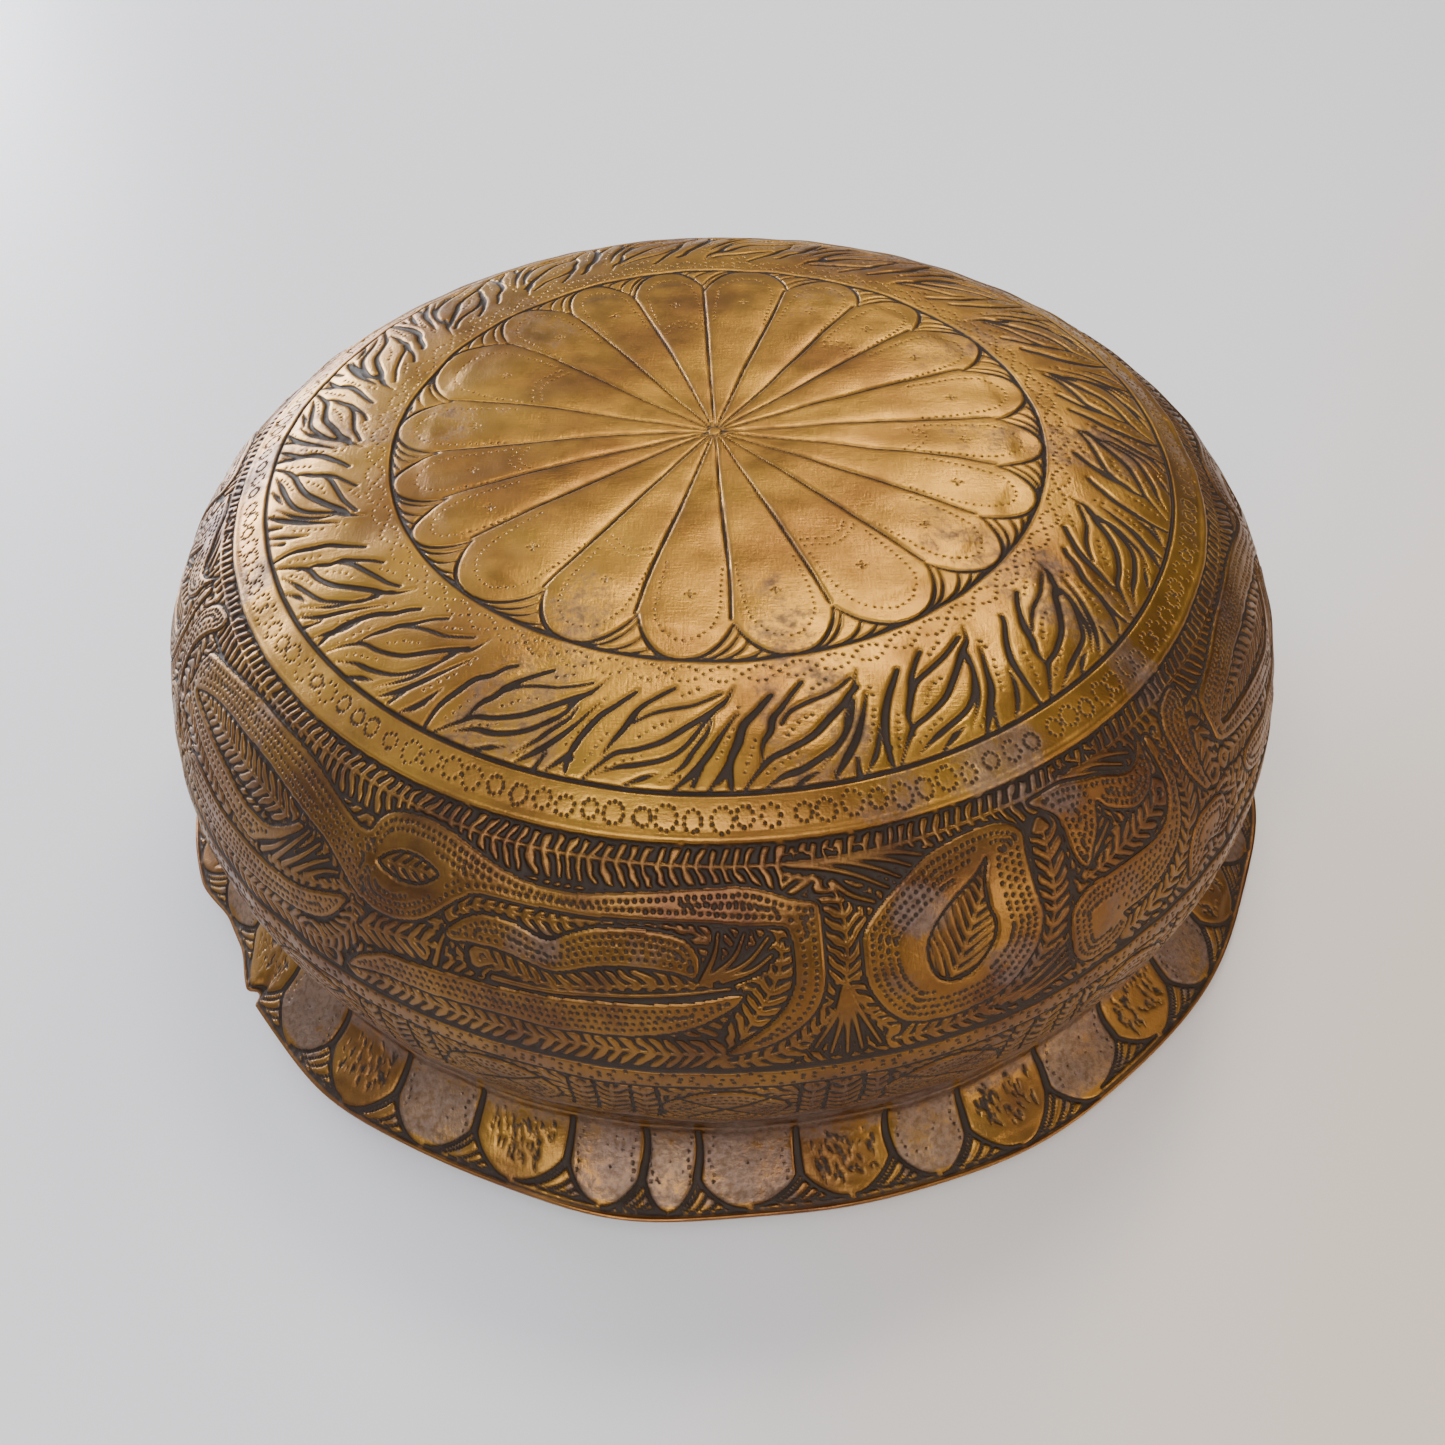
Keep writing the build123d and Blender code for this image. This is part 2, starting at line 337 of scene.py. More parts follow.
# crown: a rosette of long petals, a chain of punch marks, and a band of leaves
rosette = {"centre": (-0.6, 1.0), "radius": 57.5, "pillow": 0.26, "groove": (0.38, 0.62, 0.5),
           "cuts": [-175, -159.2, -145, -124.1, -105.3, -87.8, -69.3, -48, -29.9, -13.1, 2.8, 21.5, 40.1,
                    55.7, 73, 92, 108.7, 124.4, 142.2, 166.3],
           "tinned": [3, 5, 7, 9, 11, 13, 17, 19], "tipDots": 0.2, "arcDots": 0.18,
           "dotRow": [(0.10, 36), (0.13, 44), (0.20, 49.3), (0.36, 52.3), (0.5, 53.0), (0.64, 52.3),
                      (0.80, 49.3), (0.87, 44), (0.90, 36)]}  # (share of the petal, radius)
leafBand = {"outer": 80.0, "groups": 20, "first": -87.8, "chain": 60.4, "links": 66, "linkHalf": 1.5}
crownPlate = {"half": 81.5, "step": 0.25}

# one group of strokes, each as (degrees round, radius) points and widths
leafStrokes = [([(-1.7, 79.4), (-1.5, 76), (-0.8, 72.6), (0.3, 70), (1.8, 67.9), (3.0, 66), (4.1, 64.9)],
                (0.9, 1.5, 1.2, 0.9)),
               ([(2.0, 75.8), (2.6, 73), (3.5, 71), (4.3, 69), (5.4, 67.2), (7, 65), (8.8, 63.3)],
                (0.5, 1.2, 1.4, 1.0, 0.9)),
               ([(4.4, 69.8), (6, 68), (8, 67), (11, 66), (13, 65), (14.9, 63.9)], (0.8, 1.0, 0.9, 0.8)),
               ([(-0.4, 79.4), (1.4, 76.6), (3, 74.9), (5, 74), (8, 72.4), (10.5, 70), (12.5, 68),
                 (14, 66.6), (15.2, 65.7)], (0.6, 1.0, 1.1, 1.3, 1.3, 0.9)),
               ([(13.2, 68.8), (14.4, 66.6), (15.6, 65.2), (16.8, 62.6)], (0.8, 1.1, 0.3)),
               ([(1.7, 79), (4, 77.5), (6, 76.8), (9, 75.4), (11, 73.5), (13, 70.5), (14.2, 67.6)],
                (0.4, 1.1, 1.0, 1.0, 0.7)), ([(4.6, 79.5), (6.5, 78.1), (8.4, 77.2)], (0.5, 1.0, 0.3)),
               ([(8.6, 78.3), (10.7, 75.7), (12.0, 73.5), (13.3, 70.6), (14.0, 68.4)], (0.3, 1.0, 0.9, 0.5)),
               ([(9.6, 79.4), (11.6, 76.8), (13.2, 74.1), (14.6, 71.2), (16.4, 67.4)],
                (0.6, 1.3, 1.3, 0.9, 0.5)), ([(11.8, 79.4), (12.6, 76.8)], (1.0, 0.7)),
               ([(13.2, 79.4), (14.6, 77.3), (15.6, 75.2), (16.4, 72.8)], (0.5, 1.1, 1.0, 0.4)),
               ([(14.7, 78.9), (15.9, 76.7)], (0.3, 0.9))]
leafDots = [[(1.5, 72.2), (0.8, 74.4), (0.1, 76.6), (-0.3, 78)], [(5.3, 72), (7.2, 69.9), (9.6, 68.8)],
            [(2.4, 77.4), (4.0, 76.1), (6.0, 75.0)], [(16.4, 70.4), (15.2, 73.2), (14.0, 76)],
            [(9.7, 78.4), (11.2, 77)], [(9.8, 64.6), (12, 63.2)], [(17.2, 66.6), (16.9, 68.6)]]


def polar(points, centre=(0, 0)):
    p = np.array(points, float)
    a = np.radians(p[:, 0])
    return np.stack([p[:, 1] * np.cos(a) + centre[0], p[:, 1] * np.sin(a) + centre[1]], 1)


def tent(plate, place, left, right, apex, foot, lines, widths):
    # two hollow curves from an apex down to a rim, with slanting strokes between them
    def curve(start, reach, low, count):
        # steep at the start, level at the foot
        a = np.linspace(0, math.pi / 2, count)
        out = start + reach * (0.6 - 0.6 * np.cos(a) + 0.4 * np.sin(a))
        return np.stack([out, low + (foot - low) * np.sin(a)], 1)

    for reach in (-left, right):
        plate.stroke(place(curve(0, reach, apex, 7)), widths)
    for k in range(lines):
        a = math.pi / 2 * (k + 0.7 + random.uniform(-0.15, 0.15)) / (lines + 0.6)
        start, share = right * (0.6 - 0.6 * math.cos(a) + 0.4 * math.sin(a)), 1 - math.sin(a)
        plate.stroke(place(curve(start, -left * (0.35 + 0.65 * share), foot - (foot - apex) * share, 4)),
                     [w * 0.8 for w in widths])


def drawCrown():
    half = crownPlate["half"]
    plate = Plate(-half, -half, half, half, crownPlate["step"])
    x, y = plate.grid()
    cx, cy = rosette["centre"]
    cuts = rosette["cuts"]
    edges = np.array(cuts + [cuts[0] + 360])
    # centre of the rosette is a little off the axis, so the cuts lean to meet the circle
    angle = np.degrees(np.arctan2(y - cy, x - cx))
    angle = np.where(angle < edges[0], angle + 360, angle)
    petal = np.clip(np.searchsorted(edges, angle) - 1, 0, len(cuts) - 1)
    share = (angle - edges[petal]) / (edges[petal + 1] - edges[petal])
    radius = np.hypot(x, y)
    for i in range(len(cuts)):
        a, b = edges[i], edges[i + 1]
        w = b - a
        wander = random.normal(0, 0.25, 3)
        groove = [(a, 1.2), (a + wander[0] * 2, 20), (a + wander[1], 38), (a, 49.5)]
        plate.stroke(polar(groove, (cx * 0.7, cy * 0.7)), rosette["groove"])
        tip = random.uniform(56.0, 57.0)
        before = a - (cuts[i - 1] if i else cuts[-1] - 360)
        apex = random.uniform(48.9, 50.3)
        tent(plate, lambda p, a=a: polar(p + (a, 0)), 0.43 * before, 0.43 * w, apex, 57.3, 4,
             (0.4, 0.75, 0.65))
        line = softLine(polar([(a + f * w, r + (tip - 55.6)) for f, r in rosette["dotRow"]]), steps=6)
        plate.punch(walk(line, 1.25)[0], rosette["tipDots"])
        middle = a + 0.5 * w
        if i % 3 == 0:  # two dotted arcs across every third petal
            for r in (35.0, 33.3):
                line = softLine(polar([(a + 0.12 * w, r), (middle, r + 2.0), (b - 0.12 * w, r)]))
                plate.punch(walk(line, 1.2)[0], rosette["arcDots"])
        spot = polar([(middle, 43.5)])[0]
        plate.punch(spot + 0.75 * np.array([(0, 0), (1, 0), (-1, 0), (0, 1), (0, -1)]), rosette["tipDots"])
    inPetals = smooth(53.5 - radius, 0, 3)
    plate.layers["lift"] += rosette["pillow"] * (1 - (2 * share - 1) ** 4) * smooth(radius, 4, 26) * inPetals
    tin = 0.62 * smooth(radius, 26, 50) * smooth(0.5 - np.abs(share - 0.5), 0.03, 0.22)
    plate.layers["tin"] = np.where(np.isin(petal, rosette["tinned"]), tin, 0)
    ring = 0.38 - np.abs(radius - rosette["radius"])
    plate.layers["cut"] = np.maximum(plate.layers["cut"], ring)
    # chain of punched links round the plain band
    links, t = leafBand["links"], np.linspace(0, 1, 5, endpoint=False)
    for k in range(links):
        for half in (-leafBand["linkHalf"], leafBand["linkHalf"]):
            angle, r = 360 * k / links + 360 / links * t, leafBand["chain"] + half * np.sin(np.pi * t)
            plate.punch(polar(np.stack([angle, r], 1)), 0.24)
    for g in range(leafBand["groups"]):
        base = leafBand["first"] + 360 * g / leafBand["groups"] + random.normal(0, 0.5)
        for path, widths in leafStrokes:
            shift = random.normal(0, 0.12, (len(path), 2)) + random.normal(0, 0.25, 2)
            size = random.uniform(0.75, 1.0)
            plate.stroke(polar(np.array(path) + (base, 0) + shift), [w * size for w in widths])
        for path in leafDots:
            plate.punch(walk(softLine(polar(np.array(path) + (base, 0))), 1.3)[0], 0.26)
    line = 0.42 - np.abs(radius - leafBand["outer"])
    plate.layers["cut"] = np.maximum(plate.layers["cut"], line)
    print("crown drawn")
    return plate


# side: one length of frieze, used three times round, each length in two sheets
frieze = {"start": -120.5, "top": -7.7, "low": 64.0, "step": 0.2, "repeats": 3,
          "registerLow": 36.8, "dottedLow": 41.0, "ovalsLow": 54.0, "rings": 46, "ovals": 36,
          "lenses": (-109, -72.5, -36, -1, 33, 68.5), "burr": 0.35, "sunk": 0.14,
          "cross": [(-7.4, 43.9), (-2.4, 47.4), (3.2, 50.6), (7.0, 53.2)]}  # one bar of a lens's cross

longRibbon = [(-60.4, 6.4), (-57, 4.5), (-52, 3.9), (-47, 4.4), (-43, 5.4), (-39, 6.6), (-35, 7.6),
              (-30, 8.3), (-24, 8.2), (-18, 7.4), (-10, 6.5), (-4, 6.0), (2, 5.8), (6, 6.6), (10, 8),
              (13.4, 8.8), (14.3, 10), (14.4, 14.8), (14.4, 19.6), (14, 22.8), (12.8, 26), (10.8, 28.4),
              (8, 30.8), (4, 32.8), (0, 33.6), (0.4, 32.4), (4, 29.6), (6.8, 26.8), (8.8, 23.6), (9.8, 20),
              (9.8, 16), (9.2, 13), (8.2, 12.1), (4, 11.8), (-2, 11.3), (-8, 11), (-20, 11.4), (-30, 11.6),
              (-40, 12), (-42.4, 13.2), (-44.8, 15.2), (-47.6, 18), (-50, 19.6), (-53.2, 20.8), (-56.8, 21),
              (-60, 20.0), (-62, 17), (-62, 11)]
backRibbon = [(-59.6, 19.9), (-62.4, 19.3), (-65.8, 17.2), (-69.9, 14.7), (-74.1, 13.4), (-80.3, 12),
              (-88.7, 10.5), (-97, 10.5), (-103.3, 10.9), (-109.5, 12.2), (-114.5, 14.3), (-114.5, 15.5),
              (-105.3, 16.8), (-97, 18.4), (-90.8, 19.7), (-85.5, 19.9), (-82.4, 19.3), (-78.3, 16.8),
              (-76.2, 14.9), (-75.0, 15.4), (-77.0, 17.6), (-80.3, 20.6), (-84.5, 23.4), (-86.6, 24.9),
              (-90.3, 24.7), (-97, 23), (-107, 20.6), (-117.2, 17.6), (-118.9, 14.5), (-118.3, 9.7),
              (-116.6, 8), (-109.5, 6.3), (-103.3, 5.1), (-97, 4.5), (-88.7, 4.3), (-80.3, 4.9),
              (-74.1, 6.3), (-67.8, 8.4), (-63.6, 9.6), (-60, 9.4), (-57.5, 14)]
twinLeaf = [(-44.4, 19.2), (-42.4, 16.8), (-40, 15.2), (-36.8, 14.4), (-32.8, 14.8), (-28, 16.2),
            (-24.8, 14.6), (-20.8, 13), (-16, 12.4), (-10, 12.6), (-6, 14), (-4.4, 17.2), (-5.2, 19.6),
            (-8, 18.8), (-14, 18.2), (-20, 19), (-26, 20.9), (-30, 20.6), (-35.2, 19.6), (-40, 19.8),
            (-43.2, 20.4)]
longLeaf = [(-62.4, 34.4), (-60.3, 31.3), (-57.4, 29.3), (-54, 27.6), (-44, 26.4), (-32, 25.6), (-20, 24.6),
            (-10, 23.9), (-3.8, 23.2), (1.6, 22.2), (1.2, 24), (-2, 26.4), (-6, 28.4), (-14, 30.4),
            (-24, 31), (-36, 31.2), (-48, 31.8), (-56, 32.8), (-60, 34)]
backLeaf = [(-63.6, 21.6), (-67.8, 23.2), (-74.1, 25.5), (-84.5, 26.6), (-97, 26.3), (-108, 24.6),
            (-112, 26.5), (-108, 31.2), (-97, 32.8), (-84.5, 31.8), (-76.2, 30.9), (-69.9, 29.3),
            (-66.6, 27.2), (-64.1, 23.8)]
drop = [(20.2, 18), (20.4, 15.2), (22, 12.8), (25.2, 10), (29.2, 7.6), (33.2, 5.6), (38, 4.6), (42, 4.2),
        (45.8, 4.4), (48.6, 5.4), (50.2, 7.2), (49.9, 10), (49.6, 14), (50, 18), (50.2, 21.2), (48.8, 25.2),
        (46, 28.4), (42, 31.2), (36, 32.6), (30, 32.4), (26, 31.2), (23.6, 28.8), (21.6, 25.6), (20.4, 22)]
dropHole = [(42.8, 8.8), (40, 10.8), (36, 12.8), (32.4, 15.6), (30.4, 18.8), (30.4, 22), (31.6, 24.8),
            (33.6, 26), (36.4, 26), (39.6, 24), (41.6, 21.6), (42.2, 18.8), (41.4, 15.6), (41.6, 12.4)]
heart = [(53.4, 3.9), (56.5, 3.6), (60.6, 3.6), (64.8, 4.7), (69, 5.9), (72.3, 7.4), (75.2, 7.8),
         (77.7, 6.8), (79.4, 5.2), (80.6, 3.9), (79.3, 7.6), (78.9, 10.1), (76.8, 12.6), (73.1, 13.6),
         (69.8, 12.4), (66.8, 10.5), (65.4, 8.8), (63.9, 12.2), (61.8, 15.1), (60.2, 17.2), (58.6, 16.3),
         (57.8, 13.8), (57.6, 10.1), (57.0, 7.4), (54.8, 5.4)]
comma = [(54.8, 24.7), (56, 22.2), (59.8, 20.5), (64.8, 20.5), (71, 20.7), (76.8, 20.1), (79.3, 18),
         (80.6, 14.7), (80.6, 9.7), (81.2, 5.8), (82.7, 6.3), (82.9, 10.5), (83.1, 15.5), (81.8, 21.3),
         (79.3, 25.1), (75.2, 28), (71, 29.3), (66, 29.5), (66.8, 31.3), (64.8, 34.0), (60.6, 34.9),
         (56.8, 33.8), (55, 30.5)]
hook = [(94.2, 3.6), (91.8, 3.4), (88.4, 4.4), (86.2, 7.2), (85.8, 10.5), (86.8, 15.9), (89.6, 21.0),
        (91.6, 21.4), (90.4, 17.6), (90.6, 12.6), (92.4, 8.6), (94.4, 6.0)]
smallComma = [(82.6, 34.2), (82.9, 28.6), (85.6, 25.0), (90.2, 24.0), (94.4, 25.4), (95.0, 29.5),
              (92.0, 32.2), (88.6, 31.0), (86.4, 32.2), (84.4, 34.6)]
eyeHole = [(-58.8, 12.8), (-56, 10.4), (-52.8, 9.6), (-49.5, 10.0), (-47.2, 11.2), (-50, 13.6),
           (-53.6, 14.4), (-56.6, 14.0)]
# raised shapes: outline, and how far inside it each punch row runs
figures = [(longRibbon, (1.4, 2.6, 3.9, 5.2, 6.5)), (backRibbon, (1.4, 2.6, 3.9)),
           (twinLeaf, (1.3, 2.4, 3.5)), (longLeaf, (1.3, 2.45, 3.6)), (backLeaf, (1.2, 2.4)),
           (drop, (1.5, 2.7, 4.0, 5.3)), (heart, (1.2, 2.4, 3.6)), (comma, (1.3, 2.5, 3.7)),
           (hook, (1.2, 2.3)), (smallComma, (1.2, 2.4))]
# openings in them, each with the vein of the leaf on its floor
openings = [(dropHole, [(33.4, 25.9), (36, 22), (38, 18), (40.6, 13.6), (42.2, 9.6)]),
            (eyeHole, [(-58.4, 12.9), (-54, 12.2), (-48.0, 11.3)])]
# thin raised lines, how far their barbs reach, and which way the barbs lean
spines = [([(-43, 15.8), (-40, 13.8), (-35, 13.3), (-29, 13.2), (-24, 12.4), (-20, 11.9)], 2.2, 1),
          ([(-38, 21.8), (-32, 23.0), (-26, 23.3), (-20, 22.4), (-14, 21.3), (-8, 21.0), (-3, 20.6)], 2.6,
           -1), ([(-60, 25.0), (-56, 24.2), (-50, 23.0), (-46, 22.4)], 3.0, 1),
          ([(-60, 34.6), (-55, 34.0), (-45, 33.7), (-30, 33.6), (-15, 33.5), (-4, 33.4), (0, 34)], 2.8, -1),
          ([(0, 35.4), (5, 34.6), (9, 32.6), (12.6, 30), (15.2, 27)], 2.6, 1),
          ([(16.2, 6.6), (17.4, 9), (17.9, 12), (17.9, 16), (17.6, 19.5), (17.2, 22.5)], 3.3, -1),
          ([(17.6, 22.5), (19.4, 25.5), (21.2, 29), (24.2, 32.6)], 1.9, 1),
          ([(1.5, 30.5), (3.5, 26.8), (5.8, 22.6), (7.4, 18.8), (8.2, 14.6)], 2.8, 1),
          ([(24.6, 34.4), (31, 34.6), (38, 33.9), (43.6, 32.0), (47.6, 29.2), (50.4, 25.8), (52.2, 21.5),
            (53.2, 16.5), (53.7, 12), (53.9, 8.4)], 2.7, 1),
          ([(59, 19), (63, 18.4), (68, 17.6), (72, 17.0), (78.5, 14.6)], 2.8, 1),
          ([(67, 33.8), (72, 32.8), (77, 31.4), (81.0, 28.0), (83.8, 23.2), (84.8, 18.6), (84.5, 12),
            (84.0, 6.2)], 2.4, 1), ([(92.4, 11.4), (93.4, 15), (93.2, 20)], 2.4, 1),
          ([(-113, 14.2), (-106, 13.9), (-98, 14.0), (-90, 14.4), (-84, 14.8), (-79, 15.6)], 3.0, -1),
          ([(-118, 20.2), (-110, 22.0), (-102, 23.9), (-96, 25.0)], 2.0, -1),
          ([(-82, 25.4), (-75, 24.2), (-68, 21.9), (-64.5, 20.6)], 2.2, -1),
          ([(-62.3, 21.2), (-61.6, 24.5), (-63.2, 28.2), (-66.4, 31.6), (-70, 33)], 2.5, 1),
          ([(-118, 34.8), (-100, 34.6), (-85, 34.2), (-74, 33.4), (-66, 34.8)], 2.3, 1)]
# plain curved rays that fan out in the corners
rays = [[(10, 3.2), (16, 4.4), (21, 6.2), (25.6, 8.8)], [(12, 3.2), (19, 3.9), (24.4, 5.8), (28, 7.8)],
        [(17, 3.2), (23, 3.9), (27.4, 5.2), (30.6, 6.8)], [(22, 3.2), (28, 4.0), (33, 5.6)],
        [(16.8, 6.6), (19.5, 8.8), (23, 10.4)], [(17, 23), (15.6, 27.5), (12.5, 33.5)],
        [(17, 24), (16.4, 28.5), (14.8, 35)], [(17.2, 25), (17.3, 29), (17.2, 35.4)],
        [(17.3, 24.5), (18.4, 29), (19.4, 35)], [(17.4, 23.5), (19.6, 28.5), (22.2, 34.6)],
        [(-4, 20.2), (-2.2, 16), (-1.6, 12.6)], [(-3.4, 20), (0.6, 16.6), (2.4, 12.8)],
        [(-2.6, 19.9), (2.6, 17.4), (6, 13.6)], [(-1, 20), (3.4, 18.6), (6.4, 16.4)],
        [(41.5, 33.8), (47, 32.4), (53.5, 28.8)], [(43.5, 34.4), (49, 33.4), (54, 31.2)],
        [(46, 35.2), (54.5, 33.4)], [(61, 2.9), (66, 4.4), (70.5, 6.4)], [(64, 3.0), (69, 4.1), (74, 6.6)],
        [(69, 3.0), (73.4, 4.4), (76.4, 5.8)], [(58.8, 18.4), (62, 15.8), (66.4, 12.8)],
        [(-45.8, 25.6), (-45.2, 22), (-44.6, 19.8)],
        [(-36, 24.6), (-28, 24.5), (-18, 23.4), (-8, 22.3), (0, 21.4)],
        [(-84, 25.0), (-80, 21.6), (-76.0, 16.0)], [(-80.6, 24.6), (-77, 20), (-73.6, 15.2)],
        [(-78, 24.0), (-74, 20), (-70.8, 16.0)], [(-75.4, 23.6), (-71.6, 20), (-68.4, 17.6)],
        [(-72.6, 22.8), (-69, 20), (-66.2, 18.8)]]
# left-over tin on the side: where, how far it spreads, and how much
tinSpots = [((30, 13), 9, 1), ((44, 27), 9, 0.9), ((26, 24), 6, 0.6), ((-30, 17), 8, 0.8),
            ((-12, 16), 7, 0.6), ((60, 5), 8, 0.9), ((66, 26), 8, 0.7), ((76, 10), 6, 0.5),
            ((-70, 28), 8, 0.5), ((-96, 8), 12, 0.6), ((52, -4), 16, 1.0), ((-60, -4), 10, 0.3),
            ((92, -3), 16, 0.8), ((30, -4), 12, 0.7)]


def drawFrieze():
    start = frieze["start"]
    length = turn * cover["sideRadius"] / frieze["repeats"]
    plate = Plate(start, frieze["top"], start + length, frieze["low"], frieze["step"], wraps=True)
    x, y = plate.grid()
    middle = start + length / 2
    # border of punched rings above the burr
    rings = frieze["rings"]
    for k in range(rings):
        c = np.array([start + length * (k + 0.5) / rings, -3.9]) + random.normal(0, (0.45, 0.22))
        marks = int(random.integers(8, 12))
        a = np.linspace(0, turn, marks, endpoint=False) + random.uniform(0, 1)
        r = random.uniform(1.35, 1.95)
        plate.punch(c + r * np.stack([np.cos(a), np.sin(a) * random.uniform(0.8, 1.05)], 1), 0.3)
    ragged = ripple(np.stack([x.ravel(), 0 * x.ravel()], 1), 3.2, 8).reshape(x.shape)
    burr = 0.34 + 0.16 * ragged - np.abs(y - 0.2 - 0.22 * ragged)
    plate.layers["cut"] = np.maximum(plate.layers["cut"], burr)
    halves = ((start, middle), (middle, start + length))
    lengthways = [np.linspace(first, last, 40) for first, last in halves]

    def bar(target, us, v, half, reach, lean=1):
        # a level raised bar, such as the border above and the dotted band below
        target.shape(np.stack([us, 0 * us + v], 1), lean, reach, closed=False, half=half, steps=1)

    for us in lengthways:
        bar(plate, us, -1.0, 1.0, 3)
        bar(plate, us, 38.9, 2.1, 7, lean=-1)
        wave = 3.05 + 0.12 * np.sin(us / 9.0)
        plate.spine(np.stack([us, wave], 1), 3.6, lean=0.55, steps=1)
    outlines = [plate.shape(outline) for outline, rows in figures]
    for path, reach, lean in spines:
        plate.spine(path, reach, lean)
    for path in rays:
        plate.spine(path, 0.0, half=0.46, taper=0.6)
    for outline, vein in openings:
        plate.sink(outline, vein)
    register = (y > 0.2) & (y < frieze["registerLow"])
    plate.hatch(0.2, frieze["registerLow"])
    for line, (outline, rows) in zip(outlines, figures):
        plate.stipple(line, rows)
    # band of flat punched ovals
    for v in (frieze["registerLow"] + 0.35, frieze["dottedLow"]):
        plate.layers["cut"] = np.maximum(plate.layers["cut"], 0.34 - np.abs(y - v))
    ovals = frieze["ovals"]
    for k in range(ovals):
        c = np.array([start + length * (k + 0.5) / ovals, 39.0])
        a = np.linspace(0, turn, 8, endpoint=False) + random.uniform(0, 0.7)
        plate.punch(c + np.stack([2.35 * np.cos(a), 1.2 * np.sin(a)], 1), 0.31)
    # crossed lenses near the foot, with upright feathers standing between them
    lens = Plate(start, frieze["top"], start + length, frieze["low"], plate.step, wraps=True)
    top, foot = frieze["dottedLow"], frieze["ovalsLow"]
    crosses = []
    for c in frieze["lenses"]:
        a = np.linspace(0, turn, 17)[:-1]
        oval = np.stack([c + 9.6 * np.cos(a), 48.4 + 5.6 * np.sin(a) * (1 - 0.12 * np.cos(2 * a))], 1)
        line = lens.shape(oval, reach=6)
        for way in (-1, 1):
            crosses.append([(c + way * off, v) for off, v in frieze["cross"]])
        lens.stipple(line, (1.3, 2.5, 3.7), 1.4, 0.3)
        for off, reach in ((18.1, 7.0), (13.4, 1.6), (22.9, 1.6)):
            lens.spine([(c + off, top + random.uniform(0.6, 1.4)), (c + off + random.normal(0, 0.4), 47.6),
                        (c + off + random.normal(0, 0.4), foot - 0.5)], reach, -1, half=0.3)
    for us in lengthways:
        bar(lens, us, top - 1, 1.0, 4)
        bar(lens, us, foot + 1.4, 1.0, 4)
    lens.hatch(top, foot + 0.3)
    for path in crosses:
        lens.stroke(path, (0.7, 0.95, 0.7))
    bandZone = (y > top) & (y < foot + 0.4)
    for key in ("cut", "dot"):
        layer = plate.layers[key]
        plate.layers[key] = np.where(bandZone, np.maximum(layer, lens.layers[key]), layer)
    # the ground sits a little lower than the raised shapes
    sunkGround = (smooth(-plate.layers["land"], -0.1, 0.5) * register
                  + smooth(-lens.layers["land"], -0.1, 0.5) * bandZone * 0.7)
    plate.layers["lift"] -= frieze["sunk"] * sunkGround
    tin = np.zeros_like(x)
    for c, size, much in tinSpots:
        tin = np.maximum(tin, much * smooth(size - np.hypot(x - c[0], (y - c[1]) * 1.2), 0, size * 0.7))
    tin = np.maximum(tin, 0.25 * smooth(plate.layers["land"], 0.2, 0.8) * (y > 3) * (y < 36))
    tin = np.maximum(tin, 0.45 * smooth(y, 42, 52) + 0.5 * smooth(y, 53.5, 55))
    plate.layers["tin"] = tin
    print("frieze drawn")
    return plate


# flange: petals all round, some brass, some still tinned
flangeLook = {"cuts": [-93, -77, -61, -45, -28, -15, -6, 11, 27, 40.5, 57, 74, 90], "petals": 42,
              "step": 0.25, "narrow": 11,  # a petal narrower than this is tinned, and so is every other one
              "outerShare": 0.74, "rimShare": 0.12, "turnedUnder": 11.5, "rimRound": 0.35, "wobble": 0.5,
              "knocks": [(-113, 15, 12, 2.6), (-98, 2.2, 1.8, 1.6)]}  # place, half width, fade and depth


